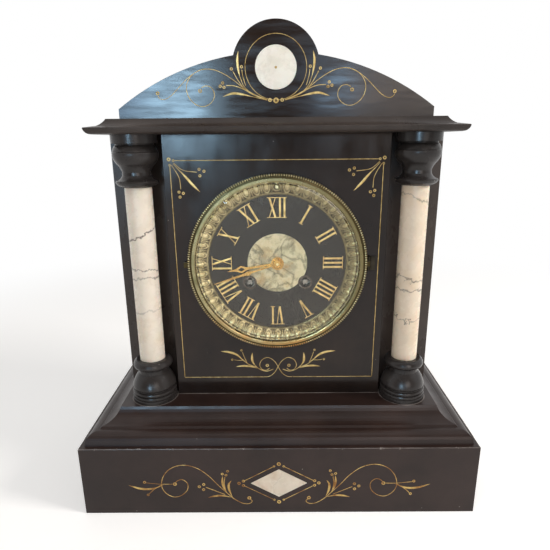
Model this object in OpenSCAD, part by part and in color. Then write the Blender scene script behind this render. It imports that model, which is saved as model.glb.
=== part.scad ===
// A slate and marble mantel clock with an eight-day striking movement.
// The origin is on the shelf, under the middle of the plinth. The dial faces -Y and up is +Z.

/* [Plinth] */
// Width of the plinth
plinth_w = 329; // [300:1:360]
// Depth of the plinth
plinth_d = 155; // [150:1:180]
// Height of the plinth
plinth_h = 63; // [50:1:80]
// Thickness of the plinth slabs
slab_t = 14; // [8:1:20]
// Thickness of the floor slab
floor_t = 10; // [6:1:14]
// Height of the moulding above the plinth
moulding_h = 22; // [18:1:28]
// Distance that the top of the moulding lies in from the plinth
ledge_in = 28.7; // [24:0.1:34]

/* [Marble inlays] */
// Half the width of the marble diamond
diamond_half_w = 23.5; // [15:0.5:30]
// Half the height of the marble diamond
diamond_half_h = 13.5; // [9:0.5:17]
// Height of the middle of the diamond
diamond_z = 29.5; // [24:0.5:36]
// Radius of the marble roundel in the pediment
roundel_r = 15.4; // [10:0.1:20]
// Thickness of the inlays
inlay_t = 4; // [3:0.5:6]
// Clearance round an inlay
inlay_gap = 0.2; // [0.1:0.1:0.5]

/* [Body] */
// Height of the body, from the moulding to the cornice
body_h = 225; // [205:1:270]
// Thickness of the body walls
wall_t = 14; // [8:1:16]
// Depth of the bays in which the columns stand
bay_d = 40; // [36:1:48]
// Width of the bay beside the front panel
bay_w = 45.8; // [44:0.1:54]
// Distance that the front panel stands in front of the front wall
panel_proud = 18.2; // [14:0.1:24]
// Distance that the back of the body lies in from the plinth
back_in = 4; // [4:0.5:8]
// Height of the cornice
cornice_h = 11.2; // [9:0.1:15]

/* [Columns] */
// Distance of a column's axis in from the side of the body
column_in = 25.5; // [22:0.1:25.7]
// Radius of a column shaft
shaft_r = 10.7; // [8:0.1:12]
// Radius of a column foot
foot_r = 19.6; // [16:0.1:20]
// Height of a column base
base_h = 37; // [30:1:42]
// Height of a column capital
capital_h = 40; // [32:1:46]

/* [Pediment] */
// Distance of the pediment's ends in from the side of the body
pediment_side_in = 16.3; // [6:0.1:36]
// Height of the pediment at its ends
pediment_end_h = 7.2; // [5:0.1:12]
// Height of the pediment's arc at the middle
pediment_rise = 46.6; // [38:0.1:52]
// Depth of the pediment
pediment_d = 70; // [50:1:80]
// Distance of the pediment from the front of the cornice
pediment_in = 18; // [14:1:24]
// Radius of the round crest
crest_r = 32.6; // [26:0.1:36]
// Height of the middle of the crest above the cornice
crest_up = 35.6; // [30:0.1:40]

/* [Dial and bezel] */
// Height of the dial's middle above the moulding
dial_up = 120.7; // [96:0.1:126]
// Radius of the hole through the case
case_hole_r = 68; // [66:0.5:70]
// Distance that the bezel reaches past the hole through the case
bezel_lap = 6; // [5.5:0.5:9]
// Thickness of the bezel
bezel_t = 5.4; // [5:0.1:8]
// Thickness of the bezel glass
glass_t = 1.8; // [1.2:0.1:2.2]
// Width of the sight ring, in from the hole through the case
sight_w = 11; // [10:0.5:14]
// Thickness of the dial
dial_t = 3; // [2:0.5:4]
// Distance of the dial's face behind the flange of its ring
dial_in = 3.5; // [3:0.1:4]
// Radius of the marble centre of the dial
centre_r = 25; // [18:0.5:28]
// Thickness of the brass ring that carries the dial
ring_t = 1.5; // [1:0.1:2]

/* [Hands] */
// Gap between the tip of the minute hand and the sight ring
minute_tip_gap = 1; // [0.5:0.5:10]
// Length of the hour hand
hour_len = 42; // [32:0.5:46]
// Thickness of the hands
hand_t = 0.6; // [0.4:0.1:0.8]
// Minutes past the hour
clock_minute = 42; // [0:1:59]
// Hour
clock_hour = 8; // [0:1:11]

/* [Movement] */
// Radius of the movement plates
plate_r = 51; // [50:0.5:54]
// Thickness of the movement plates
plate_t = 2; // [1.6:0.1:3]
// Distance between the plates
plate_gap = 32; // [32:1:38]
// Distance of the front plate behind the dial
plate_in = 10; // [10:0.5:14]
// Distance of a winding arbor from the middle
arbor_x = 23.5; // [23.5:0.1:26]
// Distance of a winding arbor below the middle
arbor_down = 16.8; // [15:0.1:18]
// Radius of a spring barrel
drum_r = 17.5; // [14:0.5:18]
// Width over the flats of a winding square
square_w = 3.6; // [3:0.1:4]
// Running clearance of a pivot or shaft, on the radius
run_gap = 0.05; // [0.02:0.01:0.08]
// Radius of a pivot
pivot_r = 0.5; // [0.4:0.05:0.6]

/* [Pendulum and bell] */
// Length of the pendulum, from its bend to the middle of the bob
pendulum_len = 127; // [115:1:130]
// Radius of the bob
bob_r = 20; // [15:0.5:21]
// Thickness of the bob
bob_t = 9; // [6:0.5:10]
// Radius of the bell
bell_r = 30; // [26:0.5:31]
// Depth of the bell
bell_d = 15; // [12:0.5:16]

/* [Back door] */
// Radius of the hole in the back ring
back_hole_r = 60; // [58:0.5:60]
// Lap of the back door over the back ring
door_lap = 4; // [2.5:0.1:4.5]

/* [Hidden] */
$fn = 96;

// Overshoot of a cut past the face that it goes through
cut = 1;

// Planes and corners of the case
case_front_y = -plinth_d / 2;
case_back_y = plinth_d / 2;
ledge_z = plinth_h + moulding_h;
body_half_w = plinth_w / 2 - ledge_in;
panel_w = 2 * (body_half_w - bay_w);
column_x = body_half_w - column_in;
pediment_half_w = body_half_w - pediment_side_in;
body_front_y = case_front_y + ledge_in;
body_back_y = case_back_y - back_in;
cornice_z = ledge_z + body_h;
wall_front_y = body_front_y + bay_d;
panel_y = wall_front_y - panel_proud;
back_wall_y = body_back_y - wall_t;
column_y = body_front_y + bay_d / 2;
roof_z = cornice_z + cornice_h;
pediment_y = body_front_y + pediment_in;
crest_z = roof_z + crest_up;
dial_z = ledge_z + dial_up;

// Planes of the dial work, from the glass to the plates
ring_y = panel_y - ring_t;
dial_y = ring_y + dial_in;
dial_back_y = dial_y + dial_t;
bezel_clear = 0.3;
bezel_back_y = ring_y - bezel_clear;
bezel_y = bezel_back_y - bezel_t;
glass_y = bezel_y + 1;
glass_back_y = glass_y + glass_t;
front_plate_y = dial_back_y + plate_in;
train_y = front_plate_y + plate_t;
train_back_y = train_y + plate_gap;
back_plate_y = train_back_y + plate_t;

// Radii of the rings that nest in the hole of the case, and of what follows them
bezel_r = case_hole_r + bezel_lap;
dial_open_r = case_hole_r - sight_w;
minute_len = dial_open_r - minute_tip_gap;
tube_r = case_hole_r - 0.3;
tube_in_r = tube_r - ring_t;
dial_r = tube_in_r - 0.3;
flange_r = case_hole_r + 4;
seat_in_r = tube_in_r - 6;
glass_r = case_hole_r + 1;
lip_r = glass_r - 1.2;
sight_lip_r = lip_r - 0.2;
regulator_r = (dial_open_r + sight_lip_r) / 2 + 1;
door_r = back_hole_r + door_lap;

// Tooth counts and modules
great_teeth = 84;
great_module = 0.5;
second_leaves = 10;
second_teeth = 80;
centre_leaves = 10;
train_module = 0.4;
centre_teeth = 84;
fine_module = 0.36;
fine_leaves = 7;
third_teeth = 84;
escape_teeth = 35;
escape_r = 9;
cannon_leaves = 14;
minute_teeth = 42;
minute_leaves = 12;
hour_teeth = 48;
cannon_module = 0.45;
hour_module = cannon_module * (cannon_leaves + minute_teeth) / (minute_leaves + hour_teeth);
pin_teeth = 64;
strike_leaves = 8;
lock_teeth = 40;
ratchet_teeth = 24;
ratchet_r = 8;

// Radius at which a wheel and a pinion roll on each other
function pitch_r(teeth, module_size) = teeth * module_size / 2;
// Distance between the arbors of two meshed wheels
function mesh_d(a, b, module_size) = (a + b) * module_size / 2;
// Point at a distance and an angle from another
function off(p, d, angle) = p + d * [cos(angle), sin(angle)];
// Direction from one point to another
function heading(p, q) = atan2(q.y - p.y, q.x - p.x);
// Point at distance da from a and db from b, on the left when looking from a to b
function corner(a, da, b, db) =
  let (d = norm(b - a), along = (d * d + da * da - db * db) / (2 * d))
  let (u = (b - a) / d, side = sqrt(da * da - along * along))
  a + along * u + side * [-u.y, u.x];
// Angle of a follower's first tooth, so that it meshes with a driver whose first tooth is at a1
function mesh_turn(p, q, a1, z1, z2) =
  heading(p, q) + 180 + 180 / z2 + (heading(p, q) - a1) * z1 / z2;

// Places of the arbors, as [x, height above the dial's middle]
middle = [0, 0];
going_at = [arbor_x, -arbor_down];
strike_at = [-arbor_x, -arbor_down];
// Distance of the pin wheel from the middle, which keeps it clear of the hammer and the pillars
pin_reach = 28.3;
second_d = mesh_d(great_teeth, second_leaves, great_module);
second_at = corner(middle, mesh_d(centre_leaves, second_teeth, train_module), going_at, second_d);
third_d = mesh_d(centre_teeth, fine_leaves, fine_module);
third_at = off(middle, third_d, 120);
escape_d = mesh_d(third_teeth, fine_leaves, fine_module);
escape_at = [0, third_at.y + sqrt(escape_d * escape_d - third_at.x * third_at.x)];
pallet_at = [0, escape_at.y + escape_r * sqrt(2)];
minute_at = [0, mesh_d(cannon_leaves, minute_teeth, cannon_module)];
pin_at = corner(strike_at, second_d, middle, pin_reach);
lock_at = off(pin_at, mesh_d(pin_teeth, strike_leaves, train_module), 110);
fly_at = off(lock_at, mesh_d(lock_teeth, strike_leaves, train_module), 45);
hammer_at = [-plate_r + 6.5, 9.5];
regulator_at = [0, regulator_r];
bell_at = [12, -10];
// Place of a click, outside its winding arbor
function click_place(side) = [side * (arbor_x + 8.5), -arbor_down - 11.2];

// Angles of the meshed teeth at rest
centre_pinion_turn = mesh_turn(second_at, middle, 0, second_teeth, centre_leaves);
second_pinion_turn = 0;
going_turn = mesh_turn(second_at, going_at, second_pinion_turn, second_leaves, great_teeth);
third_turn = mesh_turn(middle, third_at, 0, centre_teeth, fine_leaves);
escape_turn = mesh_turn(third_at, escape_at, 0, third_teeth, fine_leaves);
minute_turn = mesh_turn(middle, minute_at, 0, cannon_leaves, minute_teeth);
hour_turn = mesh_turn(minute_at, middle, 0, minute_leaves, hour_teeth);
strike_turn = mesh_turn(pin_at, strike_at, 0, second_leaves, great_teeth);
lock_turn = mesh_turn(pin_at, lock_at, 0, pin_teeth, strike_leaves);
fly_turn = mesh_turn(lock_at, fly_at, 0, lock_teeth, strike_leaves);

// Depths of the wheels between the plates
wheel_t = 1;
centre_wheel_y = train_y + 0.8;
third_wheel_y = train_y + 6;
drum_y = train_y + 3;
drum_back_y = train_y + 23.5;
great_y = drum_back_y + 0.5;
great_t = 2;
second_wheel_y = great_y + great_t + 2.5;
lock_wheel_y = great_y - 1;
escape_wheel_y = great_y + 3;
arbor_end = 0.2;
arbor_r = 0.7;
centre_arbor_r = 0.85;

// Depths of the motion work in front of the front plate
motion_y = front_plate_y - 2.5;
hour_wheel_y = motion_y - 2.5;
hour_hand_y = dial_y - 2;
minute_hand_y = hour_hand_y - hand_t - 0.8;
cannon_r = 1.9;
hour_pipe_r = 3;
pipe_hole_r = hour_pipe_r + 0.4;

// Depths behind the back plate
count_y = back_plate_y + 1;
rod_y = back_plate_y + 7;
rod_r = 1;
bob_z = dial_z + pallet_at.y - pendulum_len;
bell_y = rod_y + 9;
bell_back_y = bell_y + bell_d;
cock_back_y = rod_y + 4;

// Radii of the pillars and places of their middles
pillar_r = 3;
pillar_ring = plate_r - 4.5;
pillar_turns = [0, 60, 120, 180, 270];
screw_r = 1.2;
foot_turns = [50, 130, 235, 305];
foot_ring = plate_r - 7;
strap_x = plate_r + 5;
strap_w = 10;
strap_t = 2;
lug_y = body_back_y - 8;

// Radius of a winding bush where it passes through the dial
bush_r = 5.3;
// Radius of the winding arbors where the front plate carries them
winding_r = 2.6;
// Radius of the stem on which a click turns
click_stem_r = 0.8;
// Radius of the pipe on which the striking barrel carries the count wheel
pipe_r = 3.2;
// Distance of a cock screw from the middle
cock_screw_x = 7;
// Distance at which the hammer's head rests from the bell, and the head's radius
hammer_gap = 0.8;
head_r = 2.5;
// Radius of the post that carries the bell
post_r = 2.2;
// Radius of the stem of the suspension chops
stem_r = 0.9;

// Case hinge places
bezel_knuckle_r = 1.4;
bezel_pin_x = bezel_r + bezel_knuckle_r + 0.4;
bezel_pin_y = panel_y - bezel_knuckle_r - 0.9;
knuckle_len = 4;
pin_r = 0.6;
door_knuckle_r = 1.3;
door_pin_x = back_hole_r + 9.8;
door_y = body_back_y + ring_t + 0.2;
door_t = 1.2;
door_pin_y = case_back_y - door_knuckle_r - 0.3;

// Points of a curve from a to b that bulges to the left by sag, without its first point
function bow(a, b, sag, steps = 6) =
  let (run = b - a, left = [-run.y, run.x] / norm(run))
  [for (i = [1:steps]) let (t = i / steps) a + run * t + left * 4 * sag * t * (1 - t)];
// The same list from its end
function backwards(list) = [for (i = [len(list) - 1:-1:0]) list[i]];
// Sum of a list's first n values
function total(list, n) = n == 0 ? 0 : list[n - 1] + total(list, n - 1);

// Lays a flat outline upright, facing the front, from y0 back to y1
module upright(y0, y1) {
  translate([0, y1, 0]) rotate([90, 0, 0]) linear_extrude(y1 - y0) children();
}

// Turns a profile of [radius, y] points round a front-to-back axis
module turned_y(profile) {
  rotate([90, 0, 0]) rotate_extrude() polygon([for (p = profile) [p.x, -p.y]]);
}

// Moves its children to a place in the movement
module at(p) {
  translate([p.x, 0, dial_z + p.y]) children();
}

// Round rod along the front-to-back axis
module rod(r, y0, y1) {
  translate([0, y1, 0]) rotate([90, 0, 0]) cylinder(r = r, h = y1 - y0);
}

// Round tube along the front-to-back axis
module tube(r, bore_r, y0, y1) {
  difference() {
    rod(r, y0, y1);
    rod(bore_r, y0 - cut, y1 + cut);
  }
}

// Toothed outline with its first tooth at an angle
module teeth(count, module_size, turn = 0) {
  pitch = 360 / count;
  root_r = pitch_r(count, module_size) - 1.35 * module_size;
  tip_r = pitch_r(count, module_size) + 0.6 * module_size;
  half = [-0.22 * pitch, -0.1 * pitch, 0.1 * pitch, 0.22 * pitch];
  reach = [root_r, tip_r, tip_r, root_r];
  polygon([
    for (i = [0:count - 1]) for (k = [0:3])
      reach[k] * [cos(turn + i * pitch + half[k]), sin(turn + i * pitch + half[k])]
  ]);
}

// Wheel with round windows between its spokes
module wheel(count, module_size, turn, y0, thick, windows = 6) {
  open_r = pitch_r(count, module_size) - 2.4;
  window_r = open_r * 0.28;
  upright(y0, y0 + thick) difference() {
    teeth(count, module_size, turn);
    for (i = [0:windows - 1]) rotate(i * 360 / windows)
      translate([open_r * 0.66, 0]) circle(r = window_r, $fn = 32);
  }
}

// Steel arbor with a pivot in each plate
module arbor(r = arbor_r) {
  rod(r, train_y + arbor_end, train_back_y - arbor_end);
  rod(pivot_r, front_plate_y + arbor_end, back_plate_y - arbor_end);
}

// Slab moulded on its front and sides, from a profile of [distance in, height] points
module moulded_slab(profile, half_w, front_y, back_y) {
  right_side = [for (p = profile) [half_w - p.x, p.y]];
  left_side = [for (p = backwards(profile)) [p.x - half_w, p.y]];
  front_side = [for (p = profile) [front_y + p.x, p.y]];
  top = profile[len(profile) - 1].y;
  bottom = profile[0].y;
  depth = back_y - front_y + 60;
  intersection() {
    translate([0, back_y, 0]) rotate([90, 0, 0]) linear_extrude(depth)
      polygon(concat(right_side, left_side));
    translate([-half_w - 30, 0, 0]) rotate([90, 0, 90]) linear_extrude(2 * half_w + 60)
      polygon(concat(front_side, [[back_y, top], [back_y, bottom]]));
  }
}

// Plinth

module plinth_floor() {
  inner_w = plinth_w - 2 * slab_t;
  inner_d = plinth_d - 2 * slab_t;
  color("#1c1a1a") translate([-inner_w / 2, -inner_d / 2, 0]) cube([inner_w, inner_d, floor_t]);
}

module plinth_front_slab() {
  color("#161516") difference() {
    translate([-plinth_w / 2, case_front_y, 0]) cube([plinth_w, slab_t, plinth_h]);
    translate([0, 0, diamond_z]) upright(case_front_y - cut, case_front_y + inlay_t)
      diamond(inlay_gap);
  }
}

module plinth_back_slab() {
  color("#161516") translate([-plinth_w / 2, case_back_y - slab_t, 0])
    cube([plinth_w, slab_t, plinth_h]);
}

module plinth_side_slabs() {
  color("#161516") for (side = [0, 1]) mirror([side, 0, 0])
    translate([plinth_w / 2 - slab_t, case_front_y + slab_t, 0])
      cube([slab_t, plinth_d - 2 * slab_t, plinth_h]);
}

// Diamond outline, grown by a clearance
module diamond(grow) {
  polygon([
    [diamond_half_w + grow, 0], [0, diamond_half_h + grow],
    [-diamond_half_w - grow, 0], [0, -diamond_half_h - grow]
  ]);
}

module diamond_inlay() {
  color("#e9e4d8") translate([0, 0, diamond_z])
    upright(case_front_y, case_front_y + inlay_t) diamond(0);
}

// Moulding profile: fillet, ovolo, fillet and cavetto
function moulding_profile() =
  let (x = ledge_in / 28.7, z = moulding_h / 22)
  let (points = [[4.1, 0], [4.9, 4.3], [14.3, 9.5], [15.7, 11], [28.7, 22]])
  let (p = [for (q = points) [q.x * x, plinth_h + q.y * z]])
  concat([p[0], p[1]], bow(p[1], p[2], 1.9), [p[3]], bow(p[3], p[4], -2.6, 8));

module plinth_moulding() {
  color("#161516") moulded_slab(moulding_profile(), plinth_w / 2, case_front_y, case_back_y);
}

// Body

module front_panel() {
  color("#141314") difference() {
    translate([-panel_w / 2, panel_y, ledge_z]) cube([panel_w, panel_proud, body_h]);
    at(middle) rod(case_hole_r, panel_y - cut, wall_front_y + cut);
  }
}

module front_wall() {
  color("#141314") difference() {
    translate([-body_half_w, wall_front_y, ledge_z]) cube([2 * body_half_w, wall_t, body_h]);
    at(middle) rod(case_hole_r, wall_front_y - cut, wall_front_y + wall_t + cut);
  }
}

module side_walls() {
  inner_y = wall_front_y + wall_t;
  color("#141314") for (side = [0, 1]) mirror([side, 0, 0])
    translate([body_half_w - wall_t, inner_y, ledge_z])
      cube([wall_t, back_wall_y - inner_y, body_h]);
}

module back_wall() {
  color("#1c1a1a") difference() {
    translate([-body_half_w, back_wall_y, ledge_z]) cube([2 * body_half_w, wall_t, body_h]);
    at(middle) rod(back_hole_r + ring_t + 0.4, back_wall_y - cut, body_back_y + cut);
  }
}

// Columns

// Profile of a base as [radius, height] points: foot, two rings, groove, bulb, neck and collar
function base_profile() =
  let (k = foot_r / 19.6, h = base_h / 37)
  let (points = [[19.6, 0], [19.6, 2.4], [18.9, 2.9], [18.9, 6], [18.3, 6.3], [18.8, 6.7],
    [18.7, 9.4], [17.4, 10], [17.4, 10.8], [18.7, 13.4], [12.7, 25], [12.5, 28.2],
    [13.2, 29.2], [16.2, 30.8], [16.2, 34.4], [13.8, 37]])
  let (p = [for (q = points) [q.x * k, q.y * h]])
  concat(
    [[0, 0], p[0], p[1], p[2]], bow(p[2], p[3], -0.3, 4), [p[4], p[5]], bow(p[5], p[6], -0.3, 4),
    [p[7], p[8]], bow(p[8], p[9], -0.5, 4), bow(p[9], p[10], -0.9, 10), [p[11], p[12]],
    bow(p[12], p[13], -0.4, 4), bow(p[13], p[14], -0.5, 4), bow(p[14], p[15], -0.4, 4),
    [[0, base_h]]
  );

// Profile of a capital as [radius, height] points: lip, neck, bell, ridge, band and abacus
function capital_profile() =
  let (k = foot_r / 19.6, h = capital_h / 40)
  let (points = [[12, 0], [15.8, 2.2], [16.9, 3.9], [16.4, 5], [11.4, 9.2], [11.2, 11.6],
    [13.9, 16.9], [17, 21.6], [17.7, 25.8], [17.9, 26.5], [17.4, 27.1], [14.8, 32.2],
    [14.6, 33.4], [17.6, 33.4], [17.6, 40]])
  let (p = [for (q = points) [q.x * k, q.y * h]])
  concat(
    [[0, 0], p[0]], bow(p[0], p[1], -0.2, 4), [p[2], p[3]], bow(p[3], p[4], 0.8, 8), [p[5]],
    bow(p[5], p[6], 0.35, 6), bow(p[6], p[7], -0.25, 6), bow(p[7], p[8], -0.2, 4),
    [p[9], p[10]], bow(p[10], p[11], -0.4, 6), [p[12], p[13], p[14], [0, capital_h]]
  );

// Puts its children at the axis of each column
module at_columns(z) {
  for (side = [-1, 1]) translate([side * column_x, column_y, z]) children();
}

module column_bases() {
  color("#1b1817") at_columns(ledge_z) rotate_extrude() polygon(base_profile());
}

module column_shafts() {
  color("#d8d4cc") at_columns(ledge_z + base_h)
    cylinder(r = shaft_r, h = body_h - base_h - capital_h);
}

module column_capitals() {
  color("#1b1817") at_columns(cornice_z - capital_h) rotate_extrude() polygon(capital_profile());
}

// Top of the case

// Cornice profile: ovolo, flat and cavetto
function cornice_profile() =
  let (z = cornice_h / 11.2)
  let (points = [[0.5, 0], [-4.5, 4.2], [-4.4, 4.7], [-4.1, 4.9], [3, 6.1], [8.6, 11.2]])
  let (p = [for (q = points) [q.x, cornice_z + q.y * z]])
  concat([p[0]], bow(p[0], p[1], 1.3, 8), [p[2], p[3], p[4]], bow(p[4], p[5], -0.6, 6));

module cornice() {
  color("#161516") moulded_slab(cornice_profile(), body_half_w, body_front_y, body_back_y);
}

module pediment() {
  rise = pediment_rise - pediment_end_h;
  arc_r = (rise * rise + pediment_half_w * pediment_half_w) / (2 * rise);
  color("#161516") difference() {
    translate([0, 0, roof_z]) upright(pediment_y, pediment_y + pediment_d) union() {
      intersection() {
        translate([0, pediment_rise - arc_r]) circle(r = arc_r);
        translate([-pediment_half_w, 0]) square([2 * pediment_half_w, pediment_rise + cut]);
      }
      translate([0, crest_up]) circle(r = crest_r);
    }
    translate([0, 0, crest_z]) rod(roundel_r + inlay_gap, pediment_y - cut, pediment_y + inlay_t);
  }
}

module roundel_inlay() {
  color("#e9e4d8") translate([0, 0, crest_z]) rod(roundel_r, pediment_y, pediment_y + inlay_t);
}

// Dial

// Spun brass ring: a flange on the front panel, a tube in its hole and a seat for the dial
module dial_mount_ring() {
  seat_y = dial_back_y + ring_t;
  tube_back_y = wall_front_y - 2;
  foot_w = 8;
  foot_t = 1.8;
  color("#a98f56") at(middle) {
    difference() {
      union() {
        turned_y([
          [tube_in_r, ring_y], [flange_r, ring_y], [flange_r, panel_y], [tube_r, panel_y],
          [tube_r, tube_back_y], [tube_in_r, tube_back_y], [tube_in_r, seat_y],
          [seat_in_r, seat_y], [seat_in_r, dial_back_y], [tube_in_r, dial_back_y]
        ]);
        for (turn = foot_turns) rotate([0, -turn, 0]) {
          translate([foot_ring - 3, dial_back_y + 0.3, -foot_w / 2])
            cube([seat_in_r - foot_ring + 4, foot_t, foot_w]);
          translate([foot_ring, 0, 0]) rod(2.5, dial_back_y + 0.4, front_plate_y);
        }
      }
      translate([0, 0, regulator_r]) rod(1.2 + run_gap, dial_back_y - cut, seat_y + cut);
      for (side = [-1, 1]) translate([side * (seat_in_r + 2), 0, 0])
        rod(screw_r, dial_back_y - cut, seat_y + cut);
    }
  }
}

// Ring between the dial and the glass, with the hole for the regulating arbor
module sight_ring() {
  lip_y = ring_y - 1.8;
  color("#8d7a4e") at(middle) difference() {
    turned_y(concat(
      [[dial_open_r, dial_y], [dial_r, dial_y], [dial_r, ring_y - 0.1], [sight_lip_r, ring_y - 0.1],
        [sight_lip_r, lip_y]],
      bow([sight_lip_r, lip_y], [sight_lip_r - 2, lip_y + 0.8], 0.2, 3),
      bow([sight_lip_r - 2, lip_y + 0.8], [dial_open_r + 1.2, dial_y - 1.2], 0.5, 6),
      [[dial_open_r, dial_y - 1.2]]
    ));
    translate([0, 0, regulator_r]) rod(2.4, lip_y - cut, dial_y + cut);
  }
}

module dial_plate() {
  color("#17161a") at(middle) difference() {
    rod(dial_r, dial_y, dial_back_y);
    rod(centre_r + 0.1, dial_y - cut, dial_y + dial_t / 2);
    rod(pipe_hole_r, dial_y - cut, dial_back_y + cut);
    for (p = [going_at, strike_at]) translate([p.x, 0, p.y])
      rod(bush_r + run_gap, dial_y - cut, dial_back_y + cut);
    translate([0, 0, regulator_r]) rod(2.4, dial_y - cut, dial_back_y + cut);
  }
}

module dial_centre() {
  color("#cfcac2") at(middle) difference() {
    rod(centre_r, dial_y, dial_y + dial_t / 2);
    rod(pipe_hole_r, dial_y - cut, dial_back_y);
    for (p = [going_at, strike_at]) translate([p.x, 0, p.y])
      rod(bush_r + 0.7, dial_y - cut, dial_back_y);
  }
}

// Brass bushes that line the winding holes
module winding_bushes() {
  color("#b89a5c") for (p = [going_at, strike_at]) at(p)
    turned_y([
      [bush_r - 0.9, dial_y - 0.3], [bush_r + 0.5, dial_y - 0.3], [bush_r + 0.5, dial_y],
      [bush_r, dial_y], [bush_r, dial_back_y + 0.6], [bush_r - 0.9, dial_back_y + 0.6]
    ]);
}

// Bezel

// Hinged brass ring, rolled over the edge of its glass on both sides
module bezel_ring() {
  step_r = bezel_r - 2;
  skirt_in_r = flange_r + 0.5;
  skirt_y = panel_y - 0.9;
  knuckle_z = dial_z - knuckle_len / 2 + 0.1;
  color("#8f8257") {
    at(middle) {
      turned_y([
        [lip_r, bezel_y + 0.3], [lip_r + 0.8, bezel_y], [step_r - 1.5, bezel_y],
        [step_r - 1.2, bezel_y + 0.8], [step_r, bezel_y + 1], [step_r, bezel_y + 1.6],
        [bezel_r, bezel_y + 1.9], [bezel_r, skirt_y], [skirt_in_r, skirt_y],
        [skirt_in_r, bezel_back_y], [glass_r + 0.1, bezel_back_y],
        [glass_r + 0.1, glass_back_y + 0.9], [lip_r + 0.4, glass_back_y + 0.9],
        [lip_r + 0.4, glass_back_y + 0.05], [glass_r + 0.1, glass_back_y + 0.05],
        [glass_r + 0.1, glass_y - 0.05], [lip_r, glass_y - 0.05]
      ]);
      translate([-bezel_r - 3.6, bezel_back_y - 1.4, -2.4]) cube([4.4, 1, 4.8]);
    }
    difference() {
      union() {
        translate([bezel_pin_x, bezel_pin_y, knuckle_z])
          cylinder(r = bezel_knuckle_r, h = knuckle_len - 0.2, $fn = 32);
        translate([bezel_r - 1, bezel_pin_y - bezel_knuckle_r, knuckle_z])
          cube([bezel_pin_x - bezel_r + 1, 1, knuckle_len - 0.2]);
      }
      translate([bezel_pin_x, bezel_pin_y, knuckle_z - cut])
        cylinder(r = pin_r + run_gap, h = knuckle_len + 2 * cut, $fn = 32);
    }
  }
}

module bezel_glass() {
  bevel = 0.8;
  color("#dfe8ea") at(middle) turned_y([
    [0, glass_y], [glass_r - 4, glass_y], [glass_r, glass_y + bevel],
    [glass_r, glass_back_y], [0, glass_back_y]
  ]);
}

// Fixed leaf with the two outer knuckles
module bezel_hinge_leaf() {
  color("#8f8257") difference() {
    union() {
      translate([bezel_r + 0.5, panel_y - 0.7, dial_z - 1.5 * knuckle_len])
        cube([7, 0.7, 3 * knuckle_len]);
      for (side = [0, 1]) translate([bezel_pin_x, bezel_pin_y, dial_z]) mirror([0, 0, side])
        translate([0, 0, knuckle_len / 2]) {
          cylinder(r = bezel_knuckle_r, h = knuckle_len, $fn = 32);
          translate([-0.1, 0, 0]) cube([bezel_knuckle_r + 0.1, panel_y - bezel_pin_y, knuckle_len]);
        }
    }
    translate([bezel_pin_x, bezel_pin_y, dial_z - 2 * knuckle_len])
      cylinder(r = pin_r + run_gap, h = 4 * knuckle_len, $fn = 32);
  }
}

module bezel_hinge_pin() {
  color("#77684a") translate([bezel_pin_x, bezel_pin_y, dial_z - 1.5 * knuckle_len - 0.3])
    cylinder(r = pin_r, h = 3 * knuckle_len + 0.6, $fn = 32);
}

// Hands and motion work

// Mirrored outline of a hand from its [half width, distance] points
module hand_outline(points) {
  polygon(concat(points, [for (p = backwards(points)) [-p.x, p.y]]));
}

module minute_hand() {
  turn = -6 * clock_minute;
  color("#c39a4a") at(middle) {
    upright(minute_hand_y, minute_hand_y + hand_t) difference() {
      union() {
        circle(r = 4.2);
        rotate(turn) hand_outline([
          [0.8, 0], [0.7, 18], [0.9, 23], [2, 25.5], [1.2, 28.5], [0.9, 32], [0.3, minute_len]
        ]);
      }
      circle(r = cannon_r - 0.4 + run_gap);
    }
    tube(2.6, 1 + run_gap, minute_hand_y - 1.1, minute_hand_y);
  }
}

module hour_hand() {
  turn = -30 * (clock_hour + clock_minute / 60);
  color("#c39a4a") at(middle) upright(hour_hand_y, hour_hand_y + hand_t) difference() {
    union() {
      circle(r = 5.4);
      rotate(turn) hand_outline([
        [1.1, 0], [0.9, 22], [1.2, 26], [3.2, 30.5], [1.2, 35], [0.9, 36], [0.3, hour_len]
      ]);
    }
    circle(r = hour_pipe_r - 0.5 + run_gap);
    rotate(turn) polygon([[0, 27.5], [1.7, 30.5], [0, 33.5], [-1.7, 30.5]]);
  }
}

module hour_wheel() {
  color("#b08f4c") at(middle) {
    difference() {
      union() {
        wheel(hour_teeth, hour_module, hour_turn, hour_wheel_y, wheel_t);
        rod(hour_pipe_r, hour_hand_y + hand_t, hour_wheel_y + 0.5);
        rod(hour_pipe_r - 0.5, hour_hand_y, hour_hand_y + hand_t + 0.1);
        rod(hour_pipe_r + 1, hour_wheel_y, hour_wheel_y + wheel_t);
      }
      rod(cannon_r + run_gap, hour_hand_y - cut, hour_wheel_y + wheel_t + cut);
    }
  }
}

module minute_wheel() {
  color("#b08f4c") at(minute_at) difference() {
    union() {
      wheel(minute_teeth, cannon_module, minute_turn, motion_y, wheel_t, 5);
      upright(hour_wheel_y - 0.3, motion_y + 0.5) teeth(minute_leaves, hour_module, 0);
      rod(2.4, motion_y, motion_y + wheel_t);
    }
    rod(pivot_r + 0.2 + run_gap, hour_wheel_y - cut, motion_y + wheel_t + cut);
  }
}

// Centre arbor with its wheel and pinion, and the cannon pinion that carries the minute hand
module centre_wheel() {
  color("#b08f4c") at(middle) {
    wheel(centre_teeth, fine_module, 0, centre_wheel_y, wheel_t);
    upright(second_wheel_y - 0.8, second_wheel_y + wheel_t + 0.5)
      teeth(centre_leaves, train_module, centre_pinion_turn);
    arbor(centre_arbor_r);
    rod(1.2, front_plate_y - 1, train_y + 1);
    rod(1, minute_hand_y - 1.4, train_y);
    upright(motion_y - 0.6, motion_y + wheel_t + 0.4) teeth(cannon_leaves, cannon_module, 0);
    rod(cannon_r, minute_hand_y + hand_t, motion_y);
    rod(cannon_r - 0.4, minute_hand_y, minute_hand_y + hand_t + 0.1);
  }
}

// Movement frame

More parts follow.
